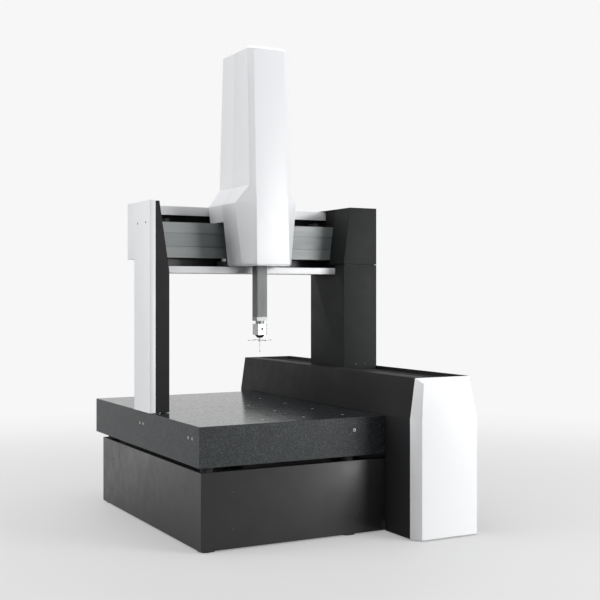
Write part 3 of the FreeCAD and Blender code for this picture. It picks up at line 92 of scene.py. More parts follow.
def softbox(name, place, aim, size, power):
    """A square lamp at a place, turned to face a point."""
    lamp = bpy.data.lights.new(name, "AREA")
    lamp.shape = "SQUARE"
    lamp.size = size
    lamp.energy = power
    item = bpy.data.objects.new(name, lamp)
    item.location = place
    item.rotation_euler = (Vector(aim) - Vector(place)).to_track_quat("-Z", "Y").to_euler()
    scene.collection.objects.link(item)


softbox("lamp_front", (3.9, -5.6, 2.2), (0.1, 0.0, 1.2), 3.2, 375.0)
softbox("lamp_left", (-6.0, 1.2, 2.4), (0.0, 0.0, 1.2), 4.0, 207.0)
softbox("lamp_top", (-0.4, -0.6, 6.4), (0.0, 0.0, 0.5), 4.5, 150.0)


def seen_or_mirrored(tree):
    """1 for rays from the eye, a mirror or glass, 0 for rays that carry light."""
    path = tree.nodes.new("ShaderNodeLightPath")
    first = tree.nodes.new("ShaderNodeMath")
    first.operation = "MAXIMUM"
    tree.links.new(path.outputs["Is Camera Ray"], first.inputs[0])
    tree.links.new(path.outputs["Is Glossy Ray"], first.inputs[1])
    second = tree.nodes.new("ShaderNodeMath")
    second.operation = "MAXIMUM"
    tree.links.new(first.outputs[0], second.inputs[0])
    tree.links.new(path.outputs["Is Transmission Ray"], second.inputs[1])
    return second.outputs[0]


SURROUND = 0.93

world = bpy.data.worlds.new("surround")
world.use_nodes = True
scene.world = world
sky = world.node_tree
background = sky.nodes["Background"]
background.inputs["Color"].default_value = (1.0, 1.0, 1.0, 1.0)
level = sky.nodes.new("ShaderNodeMapRange")
level.inputs["To Min"].default_value = 0.44
level.inputs["To Max"].default_value = SURROUND
sky.links.new(seen_or_mirrored(sky), level.inputs["Value"])
sky.links.new(level.outputs[0], background.inputs["Strength"])


def mesh_object(name, points, faces, smooth=True):
    """An object at the origin from an array of points and a list or array of faces."""
    mesh = bpy.data.meshes.new(name)
    mesh.from_pydata(np.asarray(points, float).tolist(), [], [list(map(int, f)) for f in faces])
    mesh.polygons.foreach_set("use_smooth", np.full(len(mesh.polygons), smooth))
    mesh.update()
    item = bpy.data.objects.new(name, mesh)
    scene.collection.objects.link(item)
    return item


def grid_faces(rows, columns, ring=False):
    """Quads of a grid of points numbered row by row; a ring joins the last column to the first."""
    row, column = np.meshgrid(np.arange(rows - 1), np.arange(columns if ring else columns - 1),
                              indexing="ij")
    right = (column + 1) % columns
    low, high = row * columns, (row + 1) * columns
    return np.stack([low + column, low + right, high + right, high + column], -1).reshape(-1, 4)


def floor_sheet(reach=40.0, rings=24, spokes=48):
    """A round sheet on the floor: radius grows as the square of the ring number, height is 0."""
    radius = reach * (np.arange(1, rings + 1) / rings) ** 2
    angle = np.arange(spokes) * 2 * np.pi / spokes
    edge = np.stack([np.outer(radius, np.cos(angle)), np.outer(radius, np.sin(angle)),
                     np.zeros((rings, spokes))], -1).reshape(-1, 3)
    points = np.vstack([edge, [[0, 0, 0]]])
    middle = [[len(edge), i, (i + 1) % spokes] for i in range(spokes)]
    return mesh_object("floor", points, list(grid_faces(rings, spokes, True)) + middle)


floor = floor_sheet()
floor_coat_and_shade = bpy.data.materials.new("floor_paint_with_painted_shade")
floor_coat_and_shade.use_nodes = True
tree = floor_coat_and_shade.node_tree
shader = tree.nodes["Principled BSDF"]
shader.inputs["Base Color"].default_value = (0.70, 0.70, 0.70, 1.0)
shader.inputs["Roughness"].default_value = 0.55
shader.inputs["Specular IOR Level"].default_value = 0.15
# Painted shade on the floor: seen from the eye and in mirrors it glows with a tone from 0.65 near the
# point below to the surround's 0.93 far out, mixed ever more over the lit paint.
painted_floor_shade = tree.nodes.new("ShaderNodeEmission")
where = tree.nodes.new("ShaderNodeTexCoord")
length = tree.nodes.new("ShaderNodeVectorMath")
length.operation = "DISTANCE"
length.inputs[1].default_value = (-0.38, -0.70, 0.0)
tree.links.new(where.outputs["Object"], length.inputs[0])
reach = tree.nodes.new("ShaderNodeMath")
reach.operation = "DIVIDE"
reach.inputs[1].default_value = 7.0
tree.links.new(length.outputs["Value"], reach.inputs[0])
fade = tree.nodes.new("ShaderNodeValToRGB")
tone = tree.nodes.new("ShaderNodeValToRGB")
for ramp, marks in ((fade, ((0.12, 0.45), (0.2, 0.5), (0.4, 0.7), (0.75, 1.0))),
                    (tone, ((0.15, 0.65), (0.2, 0.70), (0.33, 0.775), (0.57, 0.84),
                            (0.95, SURROUND)))):
    for (mark, value), stop in zip(marks, list(ramp.color_ramp.elements) + [None] * 3):
        stop = stop or ramp.color_ramp.elements.new(mark)
        stop.position = mark
        stop.color = (value, value, value, 1.0)
    tree.links.new(reach.outputs[0], ramp.inputs["Fac"])
tree.links.new(tone.outputs["Color"], painted_floor_shade.inputs["Color"])
tree.links.new(seen_or_mirrored(tree), painted_floor_shade.inputs["Strength"])
blend = tree.nodes.new("ShaderNodeMixShader")
tree.links.new(fade.outputs[0], blend.inputs[0])
tree.links.new(shader.outputs[0], blend.inputs[1])
tree.links.new(painted_floor_shade.outputs[0], blend.inputs[2])
tree.links.new(blend.outputs[0], tree.nodes["Material Output"].inputs["Surface"])
floor.data.materials.append(floor_coat_and_shade)

# ---------------------------------------------------------------- welded stand
# Square steel tubes, welded and powder-coated black, on screwed levelling feet.
# Rubber and steel mounts between the tubes and the stone take the table's weight.

table_low, table_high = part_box("granite_table")


def spot(x, y, z):
    """A point in metres from millimetres to the right of and behind the stone's front left corner,
    and above the floor."""
    return np.array([table_low.x + x / 1000, table_low.y + y / 1000, z / 1000])


def coat(name, colour, roughness, metal=0.0, specular=0.5):
    """A material with one surface of plain values: returns it, its node tree and its shader."""
    material = bpy.data.materials.new(name)
    material.use_nodes = True
    surface = material.node_tree.nodes["Principled BSDF"]
    surface.inputs["Base Color"].default_value = (*colour, 1.0)
    surface.inputs["Roughness"].default_value = roughness
    surface.inputs["Metallic"].default_value = metal
    surface.inputs["Specular IOR Level"].default_value = specular
    return material, material.node_tree, surface


def grain(tree, size, detail=3.0, stretch=(1.0, 1.0, 1.0)):
    """Noise on the object's own coordinates, with patches about size metres across."""
    place = tree.nodes.new("ShaderNodeTexCoord")
    turn = tree.nodes.new("ShaderNodeMapping")
    turn.inputs["Scale"].default_value = stretch
    tree.links.new(place.outputs["Object"], turn.inputs["Vector"])
    noise = tree.nodes.new("ShaderNodeTexNoise")
    noise.inputs["Scale"].default_value = 1.0 / size
    noise.inputs["Detail"].default_value = detail
    tree.links.new(turn.outputs[0], noise.inputs["Vector"])
    return noise.outputs["Fac"]


def span(tree, value, low, high, start=0.3, end=0.7):
    """A value moved from the range start to end into the range low to high."""
    item = tree.nodes.new("ShaderNodeMapRange")
    item.inputs["From Min"].default_value = start
    item.inputs["From Max"].default_value = end
    item.inputs["To Min"].default_value = low
    item.inputs["To Max"].default_value = high
    tree.links.new(value, item.inputs["Value"])
    return item.outputs[0]


def tint(tree, value, low, high, target):
    """Colour between two tones by a value from 0 to 1, into a socket."""
    item = tree.nodes.new("ShaderNodeMix")
    item.data_type = "RGBA"
    item.inputs["A"].default_value = (*low, 1.0)
    item.inputs["B"].default_value = (*high, 1.0)
    tree.links.new(value, item.inputs["Factor"])
    tree.links.new(item.outputs["Result"], target)


def relief(tree, surface, value, depth, strength=1.0):
    """Bumps as deep as depth metres from a value."""
    item = tree.nodes.new("ShaderNodeBump")
    item.inputs["Distance"].default_value = depth
    item.inputs["Strength"].default_value = strength
    tree.links.new(value, item.inputs["Height"])
    tree.links.new(item.outputs[0], surface.inputs["Normal"])


def sheen(tree, surface, low, high, size, detail=3.0, stretch=(1.0, 1.0, 1.0)):
    """Roughness from low to high, by noise as grain makes it."""
    tree.links.new(span(tree, grain(tree, size, detail, stretch), low, high),
                   surface.inputs["Roughness"])


def mottle(tree, surface, low, high, size, detail=3.0, stretch=(1.0, 1.0, 1.0)):
    """Colour from one tone to another, by noise as grain makes it."""
    tint(tree, span(tree, grain(tree, size, detail, stretch), 0.0, 1.0), low, high,
         surface.inputs["Base Color"])


def powder(name, colour, roughness, specular, peel=0.0012, depth=0.00004, wear=0.25):
    """Powder coat: fine orange peel, and slow changes of tone and gloss."""
    material, tree, surface = coat(name, colour, roughness, 0.0, specular)
    darker = tuple(c * (1.0 - wear * 0.3) for c in colour)
    mottle(tree, surface, darker, colour, 0.35, 2.0)
    sheen(tree, surface, roughness - 0.05, roughness + 0.06, 0.09, 4.0)
    relief(tree, surface, grain(tree, peel, 1.0), depth)
    return material


def paint(material, *names):
    """Give CAD nodes a material on all their slots."""
    for name in names:
        for slot in nodes[name].material_slots:
            slot.material = material


frame_black = powder("frame_powder_coat", (0.022, 0.022, 0.023), 0.5, 0.35)
paint(frame_black, "base_frame")
foot_steel, tree, shader = coat("blackened_foot_steel", (0.06, 0.06, 0.062), 0.4, 0.8)
sheen(tree, shader, 0.26, 0.46, 0.02, 5.0)
mottle(tree, shader, (0.045, 0.045, 0.046), (0.075, 0.075, 0.077), 0.05)
paint(foot_steel, "levelling_feet")
rubber, tree, shader = coat("mount_rubber", (0.018, 0.018, 0.018), 0.75, 0.0, 0.3)
relief(tree, shader, grain(tree, 0.004, 4.0), 0.0002)
mottle(tree, shader, (0.012, 0.012, 0.012), (0.026, 0.026, 0.026), 0.03)
paint(rubber, "granite_supports", "y_end_stops", "x_end_stops")

# ---------------------------------------------------------------- stand panels and their screws
# Folded steel sheets, 3 mm thick and powder-coated satin black, hung flat on the tubes.
# Button-head screws with a hexagon socket hold them near the corners.


def rounded(name, width, segments=2, limit=30.0, form=None, level=None):
    """A copy of a CAD node's mesh with its triangles merged into flat faces and its edges rounded
    by width metres; it takes the node's place and rides on its body. Its sheet is first split at
    the height level, and form gives each corner's new place, in millimetres as spot takes them."""
    source = nodes[name]
    mesh = source.data.copy()
    work = bmesh.new()
    work.from_mesh(mesh)
    bmesh.ops.remove_doubles(work, verts=work.verts, dist=2e-6)
    bmesh.ops.dissolve_limit(work, angle_limit=math.radians(0.4),
                             verts=work.verts, edges=work.edges)
    if level:
        bmesh.ops.bisect_plane(work, geom=work.verts[:] + work.edges[:] + work.faces[:],
                               plane_co=(0.0, 0.0, level / 1000), plane_no=(0.0, 0.0, 1.0))
    for corner in work.verts if form else ():
        corner.co = spot(*form(*((np.array(corner.co) - spot(0, 0, 0)) * 1000)))
    work.to_mesh(mesh)
    work.free()
    mesh.name = name + "_edged"
    mesh.polygons.foreach_set("use_smooth", np.full(len(mesh.polygons), True))
    item = bpy.data.objects.new(name + "_edged", mesh)
    scene.collection.objects.link(item)
    edge = item.modifiers.new("edges", "BEVEL")
    edge.width = width
    edge.segments = segments
    edge.limit_method = "ANGLE"
    edge.angle_limit = math.radians(limit)
    edge.harden_normals = True
    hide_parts(name)
    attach(item, source["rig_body"])
    return item


def dress(item, material):
    """Cover a new piece with one material."""
    item.data.materials.clear()
    item.data.materials.append(material)
    return item


panel_black = powder("panel_powder_coat", (0.022, 0.022, 0.023), 0.36, 0.34)
for name in ("base_front_panel", "base_rear_panel", "base_left_panel"):
    dress(rounded(name, 0.0009), panel_black)


def outward(item):
    """Turn all faces of a new piece outward."""
    work = bmesh.new()
    work.from_mesh(item.data)
    bmesh.ops.recalc_face_normals(work, faces=work.faces)
    work.to_mesh(item.data)
    work.free()
    return item


def out_of(axis, along, across, up):
    """Rows of points from three arrays, with along facing out of a surface: to -X, -Y or +Z."""
    order = {"x": (-along, across, up), "y": (across, -along, up), "z": (across, up, along)}[axis]
    return np.stack(order, -1).reshape(-1, 3)


def button_heads(name, places, axis, radius=0.004, height=0.0015, sides=24):
    """Screw heads in one mesh. Height over the seat falls with distance r from the middle as
    height * (1 - 0.45 (r / radius)^3), down to the rim; a hexagon socket is sunk in the middle."""
    turns = np.arange(sides) * 2 * np.pi / sides
    hexagon = radius * 0.42 / np.cos((turns % (np.pi / 3)) - np.pi / 6)
    share = np.array([0.55, 0.75, 0.9, 1.0])
    rings = [np.full(sides, radius * s) for s in share] + [np.full(sides, radius)]
    distance = np.vstack([hexagon * 0.02, hexagon, hexagon] + rings)
    lift = np.concatenate([[height * 0.35, height * 0.35, height * 0.97],
                           height * (1 - 0.45 * share ** 3), [0.0]])
    along = np.repeat(lift[:, None], sides, 1)
    head = out_of(axis, along, distance * np.cos(turns), distance * np.sin(turns))
    quads = grid_faces(len(lift), sides, True)
    points = np.vstack([head + place for place in places])
    starts = [index * len(head) for index in range(len(places))]
    faces = np.vstack([quads + start for start in starts])
    caps = [list(range(start, start + sides)) for start in starts]
    return outward(mesh_object(name, points, list(faces) + caps, False))


screw_black, tree, shader = coat("blackened_steel", (0.05, 0.05, 0.052), 0.32, 0.85)
sheen(tree, shader, 0.24, 0.42, 0.003, 4.0)
SCREW_ROWS, SCREW_INSET, SHEET = (0.108, 0.299), 0.18, 0.003
panel_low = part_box("base_front_panel")[0]
front_screws = button_heads("front_panel_screws", [
    (x, panel_low.y, z) for x in (panel_low.x + SCREW_INSET, table_low.x + 0.942)
    for z in SCREW_ROWS], "y")
left_low, left_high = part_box("base_left_panel")
left_screws = button_heads("left_panel_screws", [
    (left_low.x, y, z) for y in (panel_low.y + SCREW_INSET, left_high.y + SHEET - SCREW_INSET)
    for z in SCREW_ROWS], "x")
for item in (front_screws, left_screws):
    dress(item, screw_black)
    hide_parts("panel_screws")
    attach(item, "base")

# ---------------------------------------------------------------- granite table
# One block of fine black-grey granite; its top is lapped to a dull shine, its sides are ground.
# Threaded steel sleeves are set into it. The left one in front is plugged flush and looks like stone.

stone, tree, shader = coat("lapped_granite", (0.05, 0.06, 0.065), 0.3, 0.0, 0.28)
place = tree.nodes.new("ShaderNodeTexCoord")
crystals = tree.nodes.new("ShaderNodeTexVoronoi")
crystals.inputs["Scale"].default_value = 330.0
crystals.inputs["Randomness"].default_value = 1.0
wobble = tree.nodes.new("ShaderNodeTexNoise")
wobble.inputs["Scale"].default_value = 420.0
wobble.inputs["Detail"].default_value = 3.0
tree.links.new(place.outputs["Object"], wobble.inputs["Vector"])
shift = tree.nodes.new("ShaderNodeVectorMath")
shift.operation = "MULTIPLY_ADD"
shift.inputs[1].default_value = (0.004, 0.004, 0.004)
tree.links.new(wobble.outputs["Color"], shift.inputs[0])
tree.links.new(place.outputs["Object"], shift.inputs[2])
tree.links.new(shift.outputs[0], crystals.inputs["Vector"])
pick = tree.nodes.new("ShaderNodeSeparateColor")
tree.links.new(crystals.outputs["Color"], pick.inputs[0])
tones = tree.nodes.new("ShaderNodeValToRGB")
tones.color_ramp.interpolation = "LINEAR"
tones.color_ramp.elements[0].color = (0.006, 0.0075, 0.008, 1)
tones.color_ramp.elements[0].position = 0.12
tones.color_ramp.elements[1].color = (0.075, 0.088, 0.092, 1)
tones.color_ramp.elements[1].position = 0.97
for position, tone in ((0.42, (0.0115, 0.014, 0.0155, 1)), (0.72, (0.021, 0.025, 0.027, 1)),
                       (0.86, (0.038, 0.045, 0.048, 1))):
    stop = tones.color_ramp.elements.new(position)
    stop.color = tone
tree.links.new(pick.outputs["Red"], tones.inputs["Fac"])
cloud = tree.nodes.new("ShaderNodeMix")
cloud.data_type = "RGBA"
cloud.blend_type = "MULTIPLY"
cloud.inputs["Factor"].default_value = 0.55
tree.links.new(tones.outputs["Color"], cloud.inputs["A"])
slow = grain(tree, 0.045, 5.0)
shade = tree.nodes.new("ShaderNodeMix")
shade.data_type = "RGBA"
shade.inputs["A"].default_value = (0.55, 0.57, 0.58, 1)
shade.inputs["B"].default_value = (1.0, 1.0, 1.0, 1)
tree.links.new(span(tree, slow, 0.0, 1.0, 0.35, 0.65), shade.inputs["Factor"])
tree.links.new(shade.outputs["Result"], cloud.inputs["B"])
tree.links.new(cloud.outputs["Result"], shader.inputs["Base Color"])
split = tree.nodes.new("ShaderNodeSeparateXYZ")
tree.links.new(place.outputs["Object"], split.inputs[0])
lapped = span(tree, split.outputs["Z"], 0.0, 1.0, table_high.z - 0.002, table_high.z - 0.0005)
gloss = tree.nodes.new("ShaderNodeMix")
gloss.data_type = "FLOAT"
gloss.inputs["A"].default_value = 0.42
tree.links.new(lapped, gloss.inputs["Factor"])
tree.links.new(span(tree, grain(tree, 0.02, 5.0), 0.13, 0.22), gloss.inputs["B"])
tree.links.new(gloss.outputs["Result"], shader.inputs["Roughness"])
relief(tree, shader, pick.outputs["Green"], 0.00002, 0.35)
paint(stone, "granite_table")


THREAD_PITCH, THREAD_DEPTH = 0.0015, 0.00035


def threaded_insert(places, axis, radius=0.009, bore=0.00425, depth=0.02, sides=32):
    """Steel sleeves in one mesh, turned from a profile of (distance from the middle, height): rim,
    flat ring, countersink, then a bore that widens by the thread's depth once every pitch, and a
    floor."""
    turns = np.arange(sides) * 2 * np.pi / sides
    profile = [(radius, -0.0235), (radius, -0.0005), (radius - 0.0004, -0.00015),
               (bore + 0.0016, -0.00015)]
    for count, step in enumerate(np.arange(0, depth - 0.002, THREAD_PITCH / 2)):
        profile.append((bore + THREAD_DEPTH * (count % 2), -0.0018 - step))
    profile += [(bore, -depth), (bore * 0.02, -depth)]
    distance, height = np.array(profile).T
    sleeve = out_of(axis, np.repeat(height[:, None], sides, 1),
                    np.outer(distance, np.cos(turns)), np.outer(distance, np.sin(turns)))
    quads = grid_faces(len(distance), sides, True)
    points = np.vstack([sleeve + place for place in places])
    starts = [index * len(sleeve) for index in range(len(places))]
    faces = [list(quad + start) for start in starts for quad in quads]
    for start in starts:
        for ring in (start, start + len(sleeve) - sides):
            faces.append(list(range(ring, ring + sides)))
    return outward(mesh_object("insert_sleeves_" + axis, points, faces, False))


insert_steel, tree, shader = coat("turned_steel", (0.36, 0.36, 0.355), 0.34, 1.0)
sheen(tree, shader, 0.22, 0.4, 0.0015, 3.0)
TABLE_TOP, SIDE_ROW = 650, 580
top_inserts = threaded_insert([spot(186 + 250 * i, 150 + 350 * j, TABLE_TOP) for j in range(5)
                               for i in range(4)], "z")
left_inserts = threaded_insert([spot(0, y, SIDE_ROW) for y in (92, 146, 825, 879)], "x")
front_insert = threaded_insert([spot(925, 0, SIDE_ROW)], "y")
plugged_insert = threaded_insert([spot(190, 0, SIDE_ROW)], "y", bore=0.0001, depth=0.004)
for item, finish in ((top_inserts, insert_steel), (left_inserts, insert_steel),
                     (front_insert, insert_steel), (plugged_insert, stone)):
    dress(item, finish)
    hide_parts("table_inserts")
    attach(item, "base")

# ---------------------------------------------------------------- Y guide inside the housing
# A ground steel rail with a glued glass scale, a friction drive bar on two blocks, and end stops.
# They sit on the stone under the covers, so they show only through the slot.

rail_steel, tree, shader = coat("ground_rail", (0.36, 0.37, 0.37), 0.28, 1.0)
sheen(tree, shader, 0.2, 0.38, 0.004, 4.0, (1.0, 0.03, 1.0))
relief(tree, shader, grain(tree, 0.0008, 2.0, (1.0, 0.02, 1.0)), 0.00001)
paint(rail_steel, "y_guide_rail", "y_drive_bar", "y_drive_roller", "x_drive_roller",
      "z_drive_roller", "counterbalance_rod")
scale_glass, tree, shader = coat("scale_glass", (0.55, 0.50, 0.34), 0.12, 0.6)
lines = tree.nodes.new("ShaderNodeTexWave")
lines.inputs["Scale"].default_value = 40.0
lines.inputs["Distortion"].default_value = 0.0
lines.bands_direction = "DIAGONAL"
place = tree.nodes.new("ShaderNodeTexCoord")
tree.links.new(place.outputs["Object"], lines.inputs["Vector"])
tint(tree, lines.outputs["Fac"], (0.42, 0.38, 0.24), (0.62, 0.57, 0.42), shader.inputs["Base Color"])
paint(scale_glass, "y_scale", "x_scale")

# ---------------------------------------------------------------- housing over the Y guide
# Folded sheet covers along the guide: matt black side walls that lean in, with lips turned down
# into the slot, and a bevelled white cover clipped over the front end.

cover_black = powder("matt_cover_paint", (0.022, 0.022, 0.023), 0.55, 0.05, 0.0016, 0.00003)
SLOT_LEFT, INNER_TOP = 1250, 1154
CAD_SLOT_LEFT, CAD_INNER_TOP = 1220, 1190


def inner_lean(x, y, z):
    """The inner wall's top moves out to INNER_TOP, and its lip runs on to the slot."""
    if z > 700 and x < CAD_INNER_TOP + 10:
        x -= CAD_INNER_TOP - INNER_TOP
    elif z > 700 and x < CAD_SLOT_LEFT + 10:
        x += SLOT_LEFT - CAD_SLOT_LEFT
    return x, y, z


for name in ("y_inner_cover", "y_outer_cover", "y_rear_cover"):
    dress(rounded(name, 0.0014, form=inner_lean), cover_black)


def front_lean(x, y, z):
    """The front cover's left edge follows the inner wall behind, and stands steeper in front."""
    rise = min(max((z - 655) / 219, 0.0), 1.0)
    front = min(max((-250 - y) / 60, 0.0), 1.0)
    near = min(max((1300 - x) / 110, 0.0), 1.0)
    behind = (INNER_TOP - CAD_INNER_TOP) * rise
    return x + near * ((1 - front) * behind + front * (7 - 24 * rise)), y, z


cover_white = powder("white_cover_paint", (0.755, 0.765, 0.78), 0.38, 0.4, 0.0016, 0.00002, 0.06)
dress(rounded("y_front_cover", 0.0015, 3, 12.0, front_lean), cover_white)
cabinet_grey, tree, shader = coat("electronics_box", (0.30, 0.31, 0.31), 0.45, 0.3)
mottle(tree, shader, (0.24, 0.25, 0.25), (0.34, 0.35, 0.35), 0.06)
relief(tree, shader, grain(tree, 0.002, 2.0), 0.00003)
paint(cabinet_grey, "control_cabinet")

# ---------------------------------------------------------------- slot bellows
# Pleated cloth covers that close the slot in front of and behind the tower.
# The cloth is glued to stiff frames, one for each fold, and slides in the slot's shelves.


def pleated_cover(name, node, pitch=0.0185, depth=0.014, inset=0.0045, tip=0.96):
    """A closed shell from a hat-shaped section carried along Y. With s the number of folds passed,
    the crown falls by depth * (1 - w(s)) / 2 and each side steps in by inset * (1 - w(s)) / 2,
    where w = asin(tip cos(2 pi s)) / asin(tip) is a wave with rounded tips."""
    low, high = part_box(node)
    low.x = spot(SLOT_LEFT + 1, 0, 0)[0]
    folds = round((high.y - low.y) / pitch)
    stations = folds * 8 + 1
    s = np.linspace(0, folds, stations)
    wave = np.arcsin(tip * np.cos(2 * np.pi * s)) / math.asin(tip)
    drop = (1 - wave) / 2
    y = low.y + (high.y - low.y) * s / folds
    top = high.z - depth * drop
    side = inset * drop
    thick, corner = 0.0012, 0.006
    left, right = low.x + side, high.x - side
    foot, cut = low.z + 0 * s, corner + thick * 0.5
    outer = [(left, foot), (left, top - corner), (left + corner, top),
             (right - corner, top), (right, top - corner), (right, foot)]
    inner = [(right - thick, foot), (right - thick, top - corner - thick * 0.5),
             (right - corner - thick * 0.5, top - thick), (left + cut, top - thick),
             (left + thick, top - corner - thick * 0.5), (left + thick, foot)]
    loop = np.stack([np.stack([x, y, z], -1) for x, z in outer + inner], 1)
    count = loop.shape[1]
    faces = list(grid_faces(stations, count, True))
    for start in (0, (stations - 1) * count):
        faces += [[start + k, start + k + 1, start + count - 2 - k, start + count - 1 - k]
                  for k in range(5)]
    item = outward(mesh_object(name, loop.reshape(-1, 3), faces, False))
    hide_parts(node)
    return item


cloth, tree, shader = coat("bellows_cloth", (0.012, 0.012, 0.013), 0.5, 0.0, 0.25)
relief(tree, shader, grain(tree, 0.0006, 2.0), 0.00005)
mottle(tree, shader, (0.008, 0.008, 0.009), (0.018, 0.018, 0.019), 0.05)
for name, node, bodies in (("front_bellows_cloth", "y_front_bellows", ("base", "bridge")),
                           ("rear_bellows_cloth", "y_rear_bellows", ("bridge", "base"))):
    item = dress(pleated_cover(name, node), cloth)
    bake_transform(item)

# ---------------------------------------------------------------- left leg of the bridge
# A tapered aluminium casting on two air bearings, painted black where it shows at the front.
# A white sheet cover wraps its outside and reaches back over the beam's end.

casting_black = powder("casting_paint", (0.017, 0.017, 0.018), 0.5, 0.10, 0.0022, 0.00006)
paint(casting_black, "left_leg_frame", "right_tower_frame", "y_carriage")
LEG_FOOT, CAD_LEG_FOOT = 653, 660


def leg_skirt(x, y, z):
    """The cover's foot comes down to 3 mm above the stone."""
    return x, y, LEG_FOOT if z < CAD_LEG_FOOT + 1 else z


dress(rounded("left_leg_cover", 0.0014, form=leg_skirt), cover_white)


def rim(name, left, right, front, back, low, high, wall):
    """A low wall around a rectangle, with a flat top and foot: outer and inner loops, four corners
    each, at the two heights."""
    points = [spot(x, y, z) for z in (low, high) for inset in (0, wall)
              for x, y in ((left + inset, front + inset), (right - inset, front + inset),
                           (right - inset, back - inset), (left + inset, back - inset))]
    faces = []
    for k in range(4):
        n = (k + 1) % 4
        faces += [[k, n, 8 + n, 8 + k], [4 + n, 4 + k, 12 + k, 12 + n], [n, k, 4 + k, 4 + n],
                  [8 + k, 8 + n, 12 + n, 12 + k]]
    return mesh_object(name, points, faces, False)


# Painted shade: a black rim closes the gap under the casting down to 3 mm above the stone, where the
# air bearings stand in shadow.
gap_shade_rim = dress(rim("leg_gap_shade_rim", -8.7, 107, 684, 934, LEG_FOOT, 664.2, 8), casting_black)
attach(gap_shade_rim, "bridge")
pad_metal, tree, shader = coat("bearing_pad", (0.55, 0.56, 0.57), 0.3, 1.0)
sheen(tree, shader, 0.22, 0.4, 0.003, 4.0)
paint(pad_metal, "leg_air_bearings", "y_air_bearings", "carriage_air_bearings", "ram_air_bearings")

leg_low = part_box("left_leg_cover")[0]
leg_screws = button_heads("leg_cover_screws", [
    (leg_low.x, leg_low.y + y, 1.737) for y in (0.065, 0.2)], "x", 0.006)
tower_screws = button_heads("tower_cover_screws", [
    spot(x, 679, 890) for x in (1348, 1410)], "y", 0.005)
for item in (leg_screws, tower_screws):
    dress(item, screw_black)
    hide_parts("bridge_screws")
    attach(item, "bridge")

# ---------------------------------------------------------------- beam and its covers
# A hollow extruded beam, anodised grey-green and ground on its guide faces, with two grooves.
# A white tray runs under it, a white wall behind it, and a black lining fills what lies between:
# painted shade where the inside of the covers lies in shadow.

beam_grey, tree, shader = coat("anodised_beam", (0.11, 0.122, 0.121), 0.42, 0.0)
beam_low, beam_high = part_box("x_beam")
place = tree.nodes.new("ShaderNodeTexCoord")
split = tree.nodes.new("ShaderNodeSeparateXYZ")
tree.links.new(place.outputs["Object"], split.inputs[0])
# Painted shade and light: the beam's flat front takes three tones by height, darkest in the middle
# band and lightest in the top one, for faces at different slants.
banded_painted_shade = tree.nodes.new("ShaderNodeValToRGB")
banded_painted_shade.color_ramp.interpolation = "CONSTANT"
banded_painted_shade.color_ramp.elements[0].color = (0.175, 0.192, 0.190, 1)
banded_painted_shade.color_ramp.elements[1].position = 0.31
banded_painted_shade.color_ramp.elements[1].color = (0.150, 0.166, 0.164, 1)
stop = banded_painted_shade.color_ramp.elements.new(0.69)
stop.color = (0.185, 0.203, 0.201, 1)
tree.links.new(span(tree, split.outputs["Z"], 0.0, 1.0, beam_low.z, beam_high.z),
               banded_painted_shade.inputs["Fac"])
streak = tree.nodes.new("ShaderNodeMix")
streak.data_type = "RGBA"
streak.blend_type = "MULTIPLY"
tree.links.new(span(tree, grain(tree, 0.012, 5.0, (0.02, 1.0, 1.0)), 0.0, 0.28),
               streak.inputs["Factor"])
tree.links.new(banded_painted_shade.outputs["Color"], streak.inputs["A"])
streak.inputs["B"].default_value = (0.72, 0.74, 0.74, 1)
tree.links.new(streak.outputs["Result"], shader.inputs["Base Color"])
sheen(tree, shader, 0.34, 0.48, 0.006, 4.0, (0.03, 1.0, 1.0))
relief(tree, shader, grain(tree, 0.0008, 2.0, (0.02, 1.0, 1.0)), 0.00001)


def grooved_beam(name, groove=6, depth=4, inset=65, wall=14):
    """A square tube along X from its section: the front wall steps in by depth over the width
    groove, at inset from the top and from the bottom. Each end is four flat wall sections."""
    low, high = (np.array(corner) * 1000 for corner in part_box("x_beam"))
    front, back, foot, top = low[1], high[1], low[2], high[2]
    steps = [(front, foot)]
    for z in (foot + inset, top - inset):
        steps += [(front, z - groove / 2), (front + depth, z - groove / 2),
                  (front + depth, z + groove / 2), (front, z + groove / 2)]
    outer = steps + [(front, top), (back, top), (back, foot)]
    inner = [(front + wall, foot + wall), (front + wall, top - wall), (back - wall, top - wall),
             (back - wall, foot + wall)]
    loop = outer + inner
    count, first = len(loop), len(outer)
    points = [(x / 1000, y / 1000, z / 1000) for x in (low[0], high[0]) for y, z in loop]
    faces = []
    for start, size in ((0, first), (first, 4)):
        for k in range(size):
            here, beyond = start + k, start + (k + 1) % size
            faces.append([here, beyond, count + beyond, count + here])
    ends = [list(range(first - 2)) + [first + 1, first], [first - 3, first - 2, first + 2, first + 1],
            [first - 2, first - 1, first + 3, first + 2], [first - 1, 0, first, first + 3]]
    faces += ends + [[count + k for k in end] for end in ends]
    item = outward(mesh_object(name, points, faces, False))
    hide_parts("x_beam")
    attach(item, "bridge")
    return item


dress(grooved_beam("beam_extrusion"), beam_grey)
dress(rounded("beam_bottom_tray", 0.0011), cover_white)
dress(rounded("beam_rear_cover", 0.0011), cover_white)
# Painted shade: the lining is a dark sheet where the inside of the beam's covers lies in shadow.
painted_shade_liner, tree, shader = coat("painted_shade_lining", (0.010, 0.010, 0.011), 0.8, 0.0, 0.1)
relief(tree, shader, grain(tree, 0.002, 3.0), 0.0001)
mottle(tree, shader, (0.007, 0.007, 0.008), (0.014, 0.014, 0.015), 0.08)
paint(painted_shade_liner, "beam_liner")
# Painted shade: the X drive bar is ground steel but takes the blackened screw finish, for the dark
# recess under the beam it shows through.
paint(screw_black, "x_drive_bar")

# ---------------------------------------------------------------- tower over the Y guide
# The right-hand column: a casting on the Y carriage inside a lower and an upper sheet cover.
# Both covers are painted the same matt black as the housing, with a shadow gap between them.

